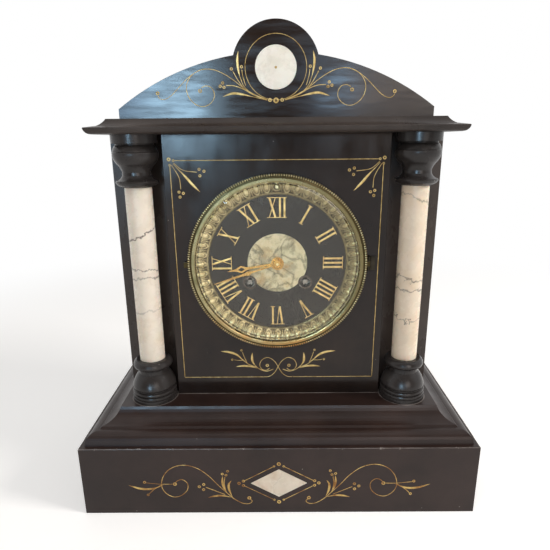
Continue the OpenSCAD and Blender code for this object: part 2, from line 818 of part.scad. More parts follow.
// Holes for the pivots and arbors that both plates carry
module shared_pivot_holes(y0, y1) {
  for (p = [second_at, third_at, escape_at, pin_at, lock_at, fly_at]) at(p)
    rod(pivot_r + run_gap, y0, y1);
}

module front_plate() {
  y0 = front_plate_y - cut;
  y1 = train_y + cut;
  color("#b5975a") {
    difference() {
      at(middle) rod(plate_r, front_plate_y, train_y);
      shared_pivot_holes(y0, y1);
      at(middle) rod(1.2 + run_gap, y0, y1);
      at(pallet_at) rod(pivot_r + run_gap, y0, y1);
      at(hammer_at) rod(pivot_r + run_gap, y0, y1);
      for (p = [going_at, strike_at]) at(p) rod(winding_r + run_gap, y0, y1);
      for (side = [-1, 1]) at(click_place(side)) rod(click_stem_r + run_gap, y0, y1);
      for (turn = pillar_turns) at(off(middle, pillar_ring, turn)) rod(2 + run_gap, y0, y1);
    }
    at(minute_at) rod(pivot_r + 0.2, hour_wheel_y - 0.5, front_plate_y + 0.1);
  }
}

module back_plate() {
  y0 = train_back_y - cut;
  y1 = back_plate_y + cut;
  color("#b5975a") difference() {
    at(middle) rod(plate_r, train_back_y, back_plate_y);
    shared_pivot_holes(y0, y1);
    at(middle) rod(pivot_r + run_gap, y0, y1);
    at(pallet_at) rod(arbor_r + 0.5, y0, y1);
    at(hammer_at) rod(arbor_r + run_gap, y0, y1);
    at(going_at) rod(2 + run_gap, y0, y1);
    at(strike_at) rod(pipe_r + run_gap, y0, y1);
    for (turn = pillar_turns) at(off(middle, pillar_ring, turn)) rod(screw_r + run_gap, y0, y1);
    at(bell_at) rod(1.5 + run_gap, y0, y1);
    for (side = [-1, 1]) at([side * cock_screw_x, pallet_at.y]) rod(screw_r + run_gap, y0, y1);
  }
}

module plate_pillars() {
  color("#b5975a") for (turn = pillar_turns) at(off(middle, pillar_ring, turn)) difference() {
    union() {
      turned_y([
        [0, train_y], [pillar_r, train_y], [pillar_r, train_y + 3], [pillar_r - 0.8, train_y + 4],
        [pillar_r - 0.8, train_back_y - 4], [pillar_r, train_back_y - 3],
        [pillar_r, train_back_y], [0, train_back_y]
      ]);
      rod(2, front_plate_y, train_y + cut);
    }
    rod(screw_r + run_gap, train_back_y - 6, train_back_y + cut);
  }
}

// Cheese-head screw that enters from the back
module screw(head_y, reach) {
  difference() {
    union() {
      rod(2.2, head_y, head_y + 1.4);
      rod(screw_r, head_y - reach, head_y + 0.1);
    }
    translate([-3, head_y + 0.9, -0.3]) cube([6, cut, 0.6]);
  }
}

module movement_screws() {
  color("#5b6472") {
    for (turn = pillar_turns) at(off(middle, pillar_ring, turn)) screw(back_plate_y, 7);
    for (side = [-1, 1]) {
      at([side * cock_screw_x, pallet_at.y]) screw(back_plate_y + 2, 3.8);
      at([side * (strap_x - 3.5), 0]) screw(lug_y + ring_t, 7);
      at([side * (seat_in_r + 2), 0]) translate([0, dial_back_y + ring_t + strap_t, 0]) {
        rod(2, 0, 1.2);
        rod(screw_r - run_gap, -ring_t - strap_t + 0.2, 0.1);
      }
    }
  }
}

// Bars that draw the dial ring and the back ring together through the case
module movement_straps() {
  front_y = dial_back_y + ring_t;
  back_y = lug_y - 0.3;
  color("#a98f56") for (side = [0, 1]) at(middle) mirror([side, 0, 0]) difference() {
    union() {
      translate([strap_x - 2, front_y, -strap_w / 2])
        cube([seat_in_r + 6 - strap_x, strap_t, strap_w]);
      translate([strap_x, front_y, -strap_w / 2]) cube([strap_t, back_y - front_y, strap_w]);
      translate([strap_x - 7, back_y - strap_t, -strap_w / 2])
        cube([7 + strap_t, strap_t, strap_w]);
    }
    translate([seat_in_r + 2, 0, 0]) rod(screw_r + run_gap, front_y - cut, front_y + strap_t + cut);
    translate([strap_x - 3.5, 0, 0]) rod(screw_r + run_gap, back_y - strap_t - cut, back_y + cut);
  }
}

// Going train

// Closed spring barrel with its great wheel, and the mainspring coiled inside
module barrel(turn, pipe_end_y) {
  wall = 1;
  difference() {
    union() {
      rod(drum_r, drum_y, drum_back_y);
      upright(great_y, great_y + great_t) teeth(great_teeth, great_module, turn);
      rod(drum_r - 4, drum_back_y - 0.1, great_y + 0.1);
      rod(pipe_r, great_y, pipe_end_y);
    }
    rod(drum_r - wall, drum_y + wall, drum_back_y - wall);
    rod(2 + run_gap, drum_y - cut, pipe_end_y + cut);
  }
  tube(drum_r - wall - 0.3, drum_r * 0.55, drum_y + wall + 0.3, drum_back_y - wall - 0.3);
}

module going_barrel() {
  color("#b08f4c") at(going_at) barrel(going_turn, train_back_y - arbor_end);
}

// Winding arbor with its square and ratchet
module winding_arbor() {
  ratchet_y = front_plate_y - 1.9;
  pitch = 360 / ratchet_teeth;
  rod(winding_r, ratchet_y - 0.8, train_y + 0.5);
  rod(2, train_y, back_plate_y + 1.6);
  translate([-square_w / 2, dial_y + 1, -square_w / 2])
    cube([square_w, ratchet_y - dial_y - 1, square_w]);
  upright(ratchet_y, ratchet_y + 1.4) polygon([
    for (i = [0:ratchet_teeth - 1]) for (k = [0, 1])
      (ratchet_r - 1.1 * k) * [cos((i + 0.12 * k) * pitch), sin((i + 0.12 * k) * pitch)]
  ]);
}

module going_winding_arbor() {
  color("#7d8087") at(going_at) winding_arbor();
}

// Click on its stem, with its nose in the ratchet
module click(side) {
  place = click_place(side);
  to_arbor = heading(place, [side * arbor_x, -arbor_down]);
  reach = norm(place - [side * arbor_x, -arbor_down]) - ratchet_r;
  y0 = front_plate_y - 1.9;
  at(place) {
    upright(y0, y0 + 1.4) union() {
      circle(r = 2, $fn = 48);
      rotate(to_arbor) polygon([[0, -1.6], [reach - 0.6, -0.9], [reach - 0.3, 0], [0, 1.6]]);
    }
    rod(click_stem_r, y0 + 1, train_y + 0.4);
  }
}

module going_click() {
  color("#7d8087") click(1);
}

module intermediate_wheel() {
  color("#b08f4c") at(second_at) {
    arbor();
    wheel(second_teeth, train_module, 0, second_wheel_y, wheel_t);
    upright(great_y - 1, second_wheel_y + 0.2) teeth(second_leaves, great_module, second_pinion_turn);
  }
}

module third_wheel() {
  color("#b08f4c") at(third_at) {
    arbor();
    wheel(third_teeth, fine_module, 0, third_wheel_y, wheel_t);
    upright(centre_wheel_y - 0.4, centre_wheel_y + wheel_t + 1)
      teeth(fine_leaves, fine_module, third_turn);
  }
}

module escape_wheel() {
  pitch = 360 / escape_teeth;
  color("#b08f4c") at(escape_at) {
    arbor();
    upright(escape_wheel_y, escape_wheel_y + 0.8) difference() {
      polygon([
        for (i = [0:escape_teeth - 1]) for (k = [0, 1])
          (escape_r - 1.6 * k) * [cos((i + 0.3 * k) * pitch), sin((i + 0.3 * k) * pitch)]
      ]);
      for (i = [0:4]) rotate(i * 72) translate([4.2, 0]) circle(r = 1.6, $fn = 32);
    }
    upright(third_wheel_y - 0.6, third_wheel_y + wheel_t + 0.6)
      teeth(fine_leaves, fine_module, escape_turn);
  }
}

// Anchor over the escape wheel, and the crutch that drives the pendulum
module pallets_and_crutch() {
  nib_r = escape_r + 0.75;
  drop = pallet_at.y - escape_at.y;
  nib = [for (side = [-1, 1]) nib_r * [side * sin(42), cos(42)] - [0, drop]];
  crutch_y = back_plate_y + 3.2;
  fork_drop = 25;
  color("#7d8087") at(pallet_at) {
    rod(pivot_r, front_plate_y + arbor_end, train_y + 1);
    rod(arbor_r, train_y + arbor_end, crutch_y + 1);
    upright(escape_wheel_y - 0.4, escape_wheel_y + 1.2) union() {
      circle(r = 1.8, $fn = 48);
      for (p = nib) polygon([
        [0, 1.2], [p.x * 1.06, p.y + 1.6], [p.x + sign(p.x) * 0.2, p.y + 0.2],
        [p.x * 0.86, p.y + 0.6], [0, -0.9]
      ]);
    }
    rod(1.8, crutch_y, crutch_y + 1);
    translate([-0.7, crutch_y, -fork_drop - 1]) cube([1.4, 1, fork_drop]);
    for (side = [0, 1]) mirror([side, 0, 0]) {
      translate([0, crutch_y, -fork_drop - 1]) cube([rod_r + 1.2, 1, 1.6]);
      translate([rod_r + 0.35, crutch_y, -fork_drop - 1]) cube([0.85, rod_y + 2 - crutch_y, 1.6]);
    }
  }
}

// Striking train

module strike_barrel() {
  color("#b08f4c") at(strike_at) barrel(strike_turn, count_y + 2);
}

module strike_winding_arbor() {
  color("#7d8087") at(strike_at) {
    winding_arbor();
    rod(2, back_plate_y, count_y + 2.6);
  }
}

module strike_click() {
  color("#7d8087") click(-1);
}

// Second wheel of the striking train, with the pins that lift the hammer
module pin_wheel() {
  pin_ring = pitch_r(pin_teeth, train_module) - 2;
  color("#b08f4c") at(pin_at) {
    arbor();
    wheel(pin_teeth, train_module, 0, second_wheel_y, wheel_t, 5);
    upright(great_y - 1, second_wheel_y + 0.2) teeth(second_leaves, great_module, 0);
    for (i = [0:7]) rotate([0, -45 * i, 0]) translate([pin_ring, 0, 0])
      rod(0.5, second_wheel_y - 1.4, second_wheel_y + 0.1);
  }
}

module locking_wheel() {
  color("#b08f4c") at(lock_at) {
    arbor();
    wheel(lock_teeth, train_module, 0, lock_wheel_y, wheel_t, 4);
    upright(second_wheel_y - 0.4, second_wheel_y + wheel_t + 0.4)
      teeth(strike_leaves, train_module, lock_turn);
    rotate([0, 20, 0]) translate([5.8, 0, 0]) rod(0.4, lock_wheel_y - 1.6, lock_wheel_y + 0.1);
  }
}

// Fan that holds the striking to an even pace
module fly() {
  color("#b08f4c") at(fly_at) {
    arbor();
    upright(lock_wheel_y - 0.6, lock_wheel_y + wheel_t + 0.6)
      teeth(strike_leaves, train_module, fly_turn);
    translate([-6.2, third_wheel_y + 2, -0.2]) cube([12.4, lock_wheel_y - third_wheel_y - 4, 0.4]);
    rod(1.5, third_wheel_y + 2, lock_wheel_y - 2);
  }
}

// Wheel whose notches count the hours and the half hours
module count_wheel() {
  count_r = 15;
  blows = [for (hour = [1:12]) hour + 1];
  unit = 360 / total(blows, 12);
  color("#b08f4c") at(strike_at) difference() {
    rod(count_r, count_y, count_y + 1.2);
    for (hour = [0:11]) rotate([0, -total(blows, hour) * unit, 0])
      translate([count_r - 2, count_y - cut, -0.7]) cube([4, 1.2 + 2 * cut, 1.4]);
    rod(pipe_r + run_gap, count_y - cut, count_y + 1.2 + cut);
  }
}

// Arbor, tail, stalk and head that strike the bell from below
module hammer() {
  head_d = bell_r + hammer_gap + head_r;
  span = norm(bell_at - hammer_at);
  lean = heading(bell_at, hammer_at) + acos(head_d / span);
  head_at = off(bell_at, head_d, lean) - hammer_at;
  stalk_y = rod_y + 3.4;
  to_head = heading([0, 0], head_at);
  color("#7d8087") at(hammer_at) {
    rod(pivot_r, front_plate_y + arbor_end, train_y + 1);
    rod(arbor_r, train_y + arbor_end, stalk_y + 1.6);
    rod(1.8, stalk_y, stalk_y + 1.6);
    rotate([0, -to_head, 0]) translate([0, stalk_y + 0.3, -0.6]) cube([norm(head_at), 1, 1.2]);
    translate([head_at.x, 0, head_at.y]) rod(head_r, stalk_y - 0.4, bell_y + 4);
    rotate([0, -heading(hammer_at, pin_at), 0]) translate([0, second_wheel_y - 1.2, -0.5])
      cube([5.5, 0.8, 1]);
    rod(1.4, second_wheel_y - 1.6, second_wheel_y - 0.2);
  }
}

// Bell, open towards the movement
module bell() {
  wall = 1.4;
  crown_r = bell_r * 0.45;
  color("#b9a878") at(bell_at) turned_y(concat(
    [[bell_r - wall, bell_y], [bell_r, bell_y]],
    bow([bell_r, bell_y], [crown_r, bell_back_y], -5, 8),
    [[post_r + 0.1, bell_back_y], [post_r + 0.1, bell_back_y - wall]],
    [[crown_r - 0.4, bell_back_y - wall]],
    bow([crown_r - 0.4, bell_back_y - wall], [bell_r - wall, bell_y], 4.6, 8)
  ));
}

module bell_stand() {
  color("#7d8087") at(bell_at) {
    rod(1.5, train_back_y + 0.2, back_plate_y + cut);
    rod(post_r + 1.4, back_plate_y, back_plate_y + 3);
    rod(post_r, back_plate_y, bell_back_y + 2.4);
    rod(post_r + 2, bell_back_y - 1.7 - 1.2, bell_back_y - 1.7);
    tube(post_r + 1.6, post_r - 0.1, bell_back_y + 0.3, bell_back_y + 2.4);
  }
}

// Pendulum and its suspension

module suspension_cock() {
  foot_t = 2;
  arm_z = pallet_at.y + 7;
  color("#b5975a") difference() {
    union() {
      at([-10, pallet_at.y - 4]) translate([0, back_plate_y, 0]) cube([20, foot_t, 15]);
      at([-5, arm_z]) translate([0, back_plate_y, 0]) cube([10, cock_back_y - back_plate_y, 4]);
      at([-5, arm_z]) translate([0, cock_back_y - 2, 0]) cube([10, 2, regulator_r - arm_z + 4]);
    }
    at(pallet_at) rod(arbor_r + run_gap, back_plate_y - cut, back_plate_y + foot_t + cut);
    for (side = [-1, 1]) at([side * cock_screw_x, pallet_at.y])
      rod(screw_r + run_gap, back_plate_y - cut, back_plate_y + foot_t + cut);
    at(regulator_at) rod(1.2 + run_gap, cock_back_y - 2 - cut, cock_back_y + cut);
    translate([0, rod_y, dial_z + arm_z - cut])
      cylinder(r = stem_r + run_gap, h = 4 + 2 * cut, $fn = 32);
  }
}

// Block that grips the suspension spring and slides to set the pendulum's length
module suspension_chops() {
  grip_z = pallet_at.y + 0.6;
  color("#a98f56") difference() {
    union() {
      at([-3.5, grip_z]) translate([0, rod_y - 1.8, 0]) cube([7, 3.6, 4.2]);
      translate([0, rod_y, dial_z + grip_z + 4]) cylinder(r = stem_r, h = 10.6, $fn = 32);
    }
    at([-0.35, grip_z - cut]) translate([0, rod_y - 1.7, 0]) cube([0.7, 3.4, cut + 3]);
  }
}

// Suspension spring, its lower block and the rod with its threaded end
module pendulum_rod() {
  spring_t = 0.3;
  spring_w = 2.8;
  spring_len = 8;
  bend_z = dial_z + pallet_at.y;
  end_z = bob_z - bob_r - 8;
  color("#7d8087") {
    translate([-spring_t / 2, rod_y - spring_w / 2, bend_z - spring_len])
      cube([spring_t, spring_w, spring_len + 2.4]);
    translate([-1.6, rod_y - 2, bend_z - spring_len - 4]) cube([3.2, 4, 4.5]);
    translate([0, rod_y, end_z]) cylinder(r = rod_r, h = bend_z - spring_len - 3 - end_z, $fn = 48);
  }
}

// Lens-shaped bob with a hole for the rod
module pendulum_bob() {
  edge = 1;
  color("#b9964f") translate([0, 0, bob_z]) difference() {
    turned_y(concat(
      [[0, rod_y - bob_t / 2]],
      bow([0, rod_y - bob_t / 2], [bob_r, rod_y - edge], -0.9, 8),
      [[bob_r, rod_y + edge]],
      bow([bob_r, rod_y + edge], [0, rod_y + bob_t / 2], -0.9, 8)
    ));
    translate([0, rod_y, -bob_r - cut])
      cylinder(r = rod_r + run_gap, h = 2 * (bob_r + cut), $fn = 48);
  }
}

module rating_nut() {
  nut_t = 2.5;
  color("#a98f56") translate([0, rod_y, bob_z - bob_r - nut_t - 0.1]) difference() {
    cylinder(r = 4.5, h = nut_t, $fn = 48);
    translate([0, 0, -cut]) cylinder(r = rod_r + run_gap, h = nut_t + 2 * cut, $fn = 48);
  }
}

// Arbor that sets the pendulum's length from the front
module regulator_arbor() {
  square = 1.7;
  color("#a98f56") at(regulator_at) {
    rod(1.2, dial_y - 1, cock_back_y + 1.4);
    translate([-square / 2, ring_y - 1.4, -square / 2]) cube([square, dial_in + 1, square]);
    rod(2.2, cock_back_y + 0.4, cock_back_y + 1.4);
  }
}

// Back of the case

module back_ring() {
  tube_out_r = back_hole_r + ring_t;
  color("#a98f56") {
    at(middle) {
      turned_y([
        [back_hole_r, lug_y], [tube_out_r, lug_y], [tube_out_r, body_back_y],
        [back_hole_r + 8, body_back_y], [back_hole_r + 8, body_back_y + ring_t],
        [back_hole_r, body_back_y + ring_t]
      ]);
      for (side = [0, 1]) mirror([side, 0, 0]) difference() {
        translate([strap_x - 7, lug_y, -strap_w / 2])
          cube([back_hole_r + 7.5 - strap_x, ring_t, strap_w]);
        translate([strap_x - 3.5, 0, 0])
          rod(screw_r + run_gap, lug_y - cut, lug_y + ring_t + cut);
      }
    }
    difference() {
      union() for (side = [0, 1]) translate([0, 0, dial_z]) mirror([0, 0, side]) {
        translate([door_pin_x, door_pin_y, 3]) cylinder(r = door_knuckle_r, h = 5, $fn = 32);
        translate([back_hole_r + 7, body_back_y + 0.1, 3])
          cube([door_pin_x - back_hole_r - 7, 1, 5]);
        translate([door_pin_x - 0.9, body_back_y + 0.1, 3]) cube([0.9, door_pin_y - body_back_y, 5]);
      }
      translate([door_pin_x, door_pin_y, dial_z - 20]) cylinder(r = pin_r + run_gap, h = 40, $fn = 32);
    }
  }
}

// Round door with sound holes, its knuckle, hinge pin and knob
module back_door() {
  color("#a98f56") {
    difference() {
      at(middle) rod(door_r, door_y, door_y + door_t);
      for (ring = [0:2]) for (i = [0:11]) at(off(middle, 18 + 14 * ring, 30 * i + 15 * (ring % 2)))
        rod(2.2 + 0.4 * ring, door_y - cut, door_y + door_t + cut);
    }
    translate([door_pin_x, door_pin_y, dial_z - 2.8]) cylinder(r = door_knuckle_r, h = 5.6, $fn = 32);
    translate([door_pin_x, door_pin_y, dial_z - 8.4]) cylinder(r = pin_r, h = 16.8, $fn = 32);
    translate([door_r - 2, door_y, dial_z - 2.8]) cube([door_pin_x - door_r + 2, door_t, 5.6]);
    at([-door_r + 5, 0]) rod(2.4, door_y, case_back_y - 0.2);
  }
}

plinth_floor();
plinth_front_slab();
plinth_back_slab();
plinth_side_slabs();
diamond_inlay();
plinth_moulding();
front_panel();
front_wall();
side_walls();
back_wall();
column_bases();
column_shafts();
column_capitals();
cornice();
pediment();
roundel_inlay();
dial_mount_ring();
sight_ring();
dial_plate();
dial_centre();
winding_bushes();
bezel_ring();
bezel_glass();
bezel_hinge_leaf();
bezel_hinge_pin();
minute_hand();
hour_hand();
hour_wheel();
minute_wheel();
centre_wheel();
front_plate();
back_plate();
plate_pillars();
movement_screws();
movement_straps();
going_barrel();
going_winding_arbor();
going_click();
intermediate_wheel();
third_wheel();
escape_wheel();
pallets_and_crutch();
strike_barrel();
strike_winding_arbor();
strike_click();
pin_wheel();
locking_wheel();
fly();
count_wheel();
hammer();
bell();
bell_stand();
suspension_cock();
suspension_chops();
pendulum_rod();
pendulum_bob();
rating_nut();
regulator_arbor();
back_ring();
back_door();
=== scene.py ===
"""Slate and marble mantel clock: finishes, gilt ornament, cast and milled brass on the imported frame."""

import logging
from dataclasses import dataclass
from enum import Enum
from math import cos, pi, radians, sin, tau

import bmesh
import bpy
import numpy as np
from mathutils import Matrix, Vector


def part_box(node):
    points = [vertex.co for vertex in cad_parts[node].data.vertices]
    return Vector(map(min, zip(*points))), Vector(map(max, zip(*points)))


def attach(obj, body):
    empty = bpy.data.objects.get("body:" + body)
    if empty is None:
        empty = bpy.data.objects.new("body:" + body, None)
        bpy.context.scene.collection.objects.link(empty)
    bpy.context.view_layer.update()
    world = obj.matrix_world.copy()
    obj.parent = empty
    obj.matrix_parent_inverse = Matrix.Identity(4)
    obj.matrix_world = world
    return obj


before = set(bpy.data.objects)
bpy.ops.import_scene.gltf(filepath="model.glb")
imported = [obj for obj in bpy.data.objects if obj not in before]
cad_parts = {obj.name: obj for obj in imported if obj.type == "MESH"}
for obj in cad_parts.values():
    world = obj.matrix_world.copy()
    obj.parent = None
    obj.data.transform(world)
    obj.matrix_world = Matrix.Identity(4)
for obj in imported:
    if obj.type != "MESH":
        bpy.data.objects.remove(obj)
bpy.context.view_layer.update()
LOG = logging.getLogger("mantel_clock")

# The script's own unit is the millimetre, and meshes are in metres
MM = 0.001
# Points closer than this are one point, in metres
SAME_POINT = 1e-7
# Vertices of a CAD slab closer than this are welded before its edges are rounded, in millimetres
WELD_GAP = 0.002
# An edge of a slab sharper than this is rounded, in degrees
ARRIS_ANGLE = 35

Path = list[tuple[float, float]]


# Measures

@dataclass(frozen=True)
class Extent:
    """Lowest and highest corner of a CAD node at rest, in millimetres."""

    lo: np.ndarray
    hi: np.ndarray

    @property
    def mid(self) -> np.ndarray:
        """The middle of the box."""
        return (self.lo + self.hi) / 2


def extent(node: str) -> Extent:
    """Box of a CAD node.

    Args:
        node: Name of the node.

    Returns:
        Its corners in millimetres.
    """
    low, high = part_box(node)
    return Extent(np.array(low) / MM, np.array(high) / MM)


def front_profile(node: str, axis_height: float, clear: float = 3.0) -> tuple[np.ndarray, np.ndarray]:
    """Front outline of a CAD node that was turned round the dial's axis.

    For each radius at which the node has vertices, its outline is the vertex nearest the front.

    Args:
        node: Name of the node.
        axis_height: Height of the axis in millimetres.
        clear: Half-width of the upright strip that is left out, because a hole is drilled there.

    Returns:
        Radii in rising order, and the depth at each, in millimetres.
    """
    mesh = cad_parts[node].data
    flat = np.empty(3 * len(mesh.vertices))
    mesh.vertices.foreach_get("co", flat)
    x, y, z = flat.reshape(-1, 3).T / MM
    reach = np.round(np.hypot(x, z - axis_height), 1)
    kept = np.abs(x) > clear
    radii = np.unique(reach[kept])
    return radii, np.array([y[kept & (reach == radius)].min() for radius in radii])


# Meshes

def grid_faces(rows: int, cols: int, wrap_rows: bool = False, wrap_cols: bool = False) -> np.ndarray:
    """Quads of a grid of points held row by row.

    Args:
        rows: Number of rows.
        cols: Number of points in a row.
        wrap_rows: True if the last row joins the first.
        wrap_cols: True if the last point of a row joins its first.

    Returns:
        Point numbers, four to a face. They turn from the columns' direction to the rows' direction.
    """
    row, col = np.meshgrid(
        np.arange(rows if wrap_rows else rows - 1), np.arange(cols if wrap_cols else cols - 1), indexing="ij"
    )
    next_row, next_col = (row + 1) % rows, (col + 1) % cols
    corners = [row * cols + col, row * cols + next_col, next_row * cols + next_col, next_row * cols + col]
    return np.stack(corners, axis=-1).reshape(-1, 4)


@dataclass
class Surface:
    """Points in millimetres, the quads between them, and how bright each point's colour is painted, from 0 to
    1.
    """

    points: np.ndarray
    quads: np.ndarray
    painted_brightness: np.ndarray | None = None

    @staticmethod
    def joined(surfaces: list["Surface"]) -> "Surface":
        """Several surfaces as one, with the later ones' point numbers moved up."""
        starts = np.cumsum([0] + [len(s.points) for s in surfaces[:-1]])
        points = [s.points for s in surfaces]
        quads = [s.quads + start for s, start in zip(surfaces, starts)]
        painted_brightness = [np.zeros(len(s.points)) if s.painted_brightness is None else s.painted_brightness for s in surfaces]
        return Surface(*(np.concatenate(arrays) for arrays in (points, quads, painted_brightness)))

    @staticmethod
    def ring(points: np.ndarray, painted_brightness: np.ndarray | None = None) -> "Surface":
        """A closed ring, from an array of sections by points by xyz that wraps both ways."""
        shine = None if painted_brightness is None else painted_brightness.ravel()
        return Surface(points.reshape(-1, 3), grid_faces(*points.shape[:2], True, True), shine)

    @staticmethod
    def rod(points: np.ndarray) -> "Surface":
        """A closed rod, from sections whose first and last have shrunk to a point."""
        return Surface(points.reshape(-1, 3), grid_faces(*points.shape[:2], False, True))

    @staticmethod
    def plate(front: np.ndarray, back: np.ndarray, painted_brightness: np.ndarray) -> "Surface":
        """A closed plate between two sheets, each rows by columns by xyz, with a painted brightness on its
        front.
        """
        rows, cols = front.shape[:2]
        loop = np.concatenate([front, back[:, ::-1]], axis=1)
        shine = np.concatenate([painted_brightness, np.zeros((rows, cols))], axis=1)
        sides = Surface(loop.reshape(-1, 3), grid_faces(rows, 2 * cols, False, True), shine.ravel())
        ends = []
        for row, turned in ((0, False), (rows - 1, True)):
            strip = np.stack([front[row], back[row]])
            faces = grid_faces(2, cols)
            ends.append(Surface(strip.reshape(-1, 3), faces[:, ::-1] if turned else faces))
        return Surface.joined([sides, *ends])


def smooth_path(points: Path, step: float = 0.5) -> np.ndarray:
    """An even row of points on a smooth curve through chosen points.

    Each span is a cubic in Hermite's form. Its end slopes are those of the parabola through a point and
    its two neighbours, with the knots spaced by the square root of the chords, which keeps it from looping.

    Args:
        points: Chosen points, in millimetres.
        step: Distance between the returned points.

    Returns:
        An array of points by two.
    """
    p = np.asarray(points, float)
    knots = np.concatenate([[0.0], np.cumsum(np.sqrt(np.linalg.norm(np.diff(p, axis=0), axis=1)))])
    slopes = np.gradient(p, knots, axis=0)
    t = np.linspace(0, knots[-1], 40 * len(p))
    i = np.clip(np.searchsorted(knots, t, side="right") - 1, 0, len(p) - 2)
    span = (knots[i + 1] - knots[i])[:, None]
    u = (t - knots[i])[:, None] / span
    curve = (2 * u**3 - 3 * u**2 + 1) * p[i] + (u**3 - 2 * u**2 + u) * span * slopes[i]
    curve += (3 * u**2 - 2 * u**3) * p[i + 1] + (u**3 - u**2) * span * slopes[i + 1]
    along = np.concatenate([[0.0], np.cumsum(np.linalg.norm(np.diff(curve, axis=0), axis=1))])
    even = np.linspace(0, along[-1], max(8, int(along[-1] / step)))
    return np.stack([np.interp(even, along, curve[:, k]) for k in range(2)], axis=1)


def make_piece(
    name: str, surface: Surface, finish: "Finish", body: str, crease: float = 40
) -> bpy.types.Object:
    """Turns a surface into a finished object that rides on a body.

    Doubled points are merged, which closes seams and poles, and edges sharper than the crease stay sharp.

    Args:
        name: Name of the piece.
        surface: Its points and quads, in millimetres.
        finish: What it is made of.
        body: CAD body it moves with.
        crease: Angle in degrees past which an edge is shown sharp.

    Returns:
        The object, at the origin.
    """
    mesh = bpy.data.meshes.new(name)
    mesh.vertices.add(len(surface.points))
    mesh.vertices.foreach_set("co", (surface.points * MM).ravel())
    mesh.loops.add(surface.quads.size)
    mesh.loops.foreach_set("vertex_index", surface.quads.ravel())
    mesh.polygons.add(len(surface.quads))
    mesh.polygons.foreach_set("loop_start", np.arange(0, surface.quads.size, 4))
    mesh.update(calc_edges=True)
    if surface.painted_brightness is not None:
        mesh.attributes.new("painted_brightness", "FLOAT", "POINT").data.foreach_set("value", surface.painted_brightness)
    work = bmesh.new()
    work.from_mesh(mesh)
    bmesh.ops.remove_doubles(work, verts=work.verts, dist=SAME_POINT)
    work.to_mesh(mesh)
    work.free()
    mesh.polygons.foreach_set("use_smooth", np.ones(len(mesh.polygons), bool))
    mesh.set_sharp_from_angle(angle=radians(crease))
    mesh.materials.append(finish.material())
    made = bpy.data.objects.new(name, mesh)
    bpy.context.scene.collection.objects.link(made)
    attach(made, body)
    return made


def soften_edges(node: str, width: float, segments: int = 2) -> None:
    """Rounds the edges of a sawn slab, as its maker rubs them down.

    Args:
        node: CAD node of the slab.
        width: Width of the rounding in millimetres.
        segments: Steps across the rounding.
    """
    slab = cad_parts[node]
    weld = slab.modifiers.new("weld", "WELD")
    weld.merge_threshold = WELD_GAP * MM
    bevel = slab.modifiers.new("rubbed_edges", "BEVEL")
    bevel.width = width * MM
    bevel.segments = segments
    bevel.limit_method = "ANGLE"
    bevel.angle_limit = radians(ARRIS_ANGLE)
    bevel.use_clamp_overlap = True


# Materials

Tree = bpy.types.NodeTree
Socket = bpy.types.NodeSocket
Span = tuple[float, float]

DIAL_AXIS_HEIGHT = extent("dial_plate").mid[2]


def linear(colour: str) -> tuple[float, float, float, float]:
    """Turns an sRGB hex colour such as #c8a050 into linear values with an alpha of 1."""
    shares = [int(colour[i:i + 2], 16) / 255 for i in (1, 3, 5)]
    return tuple(s / 12.92 if s <= 0.04045 else ((s + 0.055) / 1.055) ** 2.4 for s in shares) + (1.0,)


def add_node(tree: Tree, kind: str, inputs: dict | None = None, **settings: object) -> bpy.types.NodeOutputs:
    """Adds a shader node with its settings and links.

    Args:
        tree: Node tree of the material or the world.
        kind: Blender's name of the node type, after ShaderNode.
        inputs: Sockets, values or hex colours by input name or number. A socket is linked, the rest is set.
        settings: The node's own properties.

    Returns:
        The node's outputs.
    """
    node = tree.nodes.new("ShaderNode" + kind)
    for name, value in settings.items():
        setattr(node, name, value)
    for key, value in (inputs or {}).items():
        if isinstance(value, Socket):
            tree.links.new(value, node.inputs[key])
        else:
            node.inputs[key].default_value = linear(value) if isinstance(value, str) else value
    return node.outputs


def place_in_mm(tree: Tree, stretch: tuple[float, float, float] = (1, 1, 1)) -> Socket:
    """Object coordinates in millimetres, each axis times its stretch."""
    here = add_node(tree, "TexCoord")["Object"]
    return add_node(tree, "Mapping", {"Vector": here, "Scale": tuple(s / MM for s in stretch)})[0]


def cloud(
    tree: Tree, place: Socket, size: float, detail: float, levels: Span, values: Span = (0, 1)
) -> Socket:
    """Soft clouds of a real size, spread between two values.

    Args:
        tree: Node tree of the material.
        place: Coordinates in millimetres.
        size: Size of the largest clouds in millimetres.
        detail: Number of finer layers.
        levels: The noise's values at which the clouds begin and are full.
        values: What is given before they begin and where they are full.

    Returns:
        A value between the two.
    """
    noise = {"Vector": place, "Scale": 1 / size, "Detail": detail, "Roughness": 0.6}
    spread = {
        "Value": add_node(tree, "TexNoise", noise)[0],
        "From Min": levels[0], "From Max": levels[1], "To Min": values[0], "To Max": values[1],
    }
    return add_node(tree, "MapRange", spread)[0]


def painted(tree: Tree, ground: str | Socket, coats: list[tuple[Socket, str | Socket]]) -> Socket:
    """Lays colours over a ground one after the other, each by its share from 0 to 1."""
    for share, colour in coats:
        ground = add_node(tree, "Mix", {0: share, 6: ground, 7: colour}, data_type="RGBA")[2]
    return ground


@dataclass(frozen=True)
class Finish:
    """A finish. A kind of finish gives its shader, and the material is made once and shared."""

    label: str
    slot: str

    def shader(self, tree: Tree) -> Socket:
        """Builds the shader in the tree and returns its output."""
        raise NotImplementedError

    def material(self) -> bpy.types.Material:
        """The finish's material, built the first time it is asked for."""
        made = bpy.data.materials.get(self.label)
        if made is None:
            made = bpy.data.materials.new(self.label)
            made.use_nodes = True
            made.node_tree.nodes.clear()
            add_node(made.node_tree, "OutputMaterial", {"Surface": self.shader(made.node_tree)})
        return made


def dress(finish: Finish, *nodes: str) -> None:
    """Gives CAD nodes a finish."""
    for node in nodes:
        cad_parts[node].data.materials.clear()
        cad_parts[node].data.materials.append(finish.material())


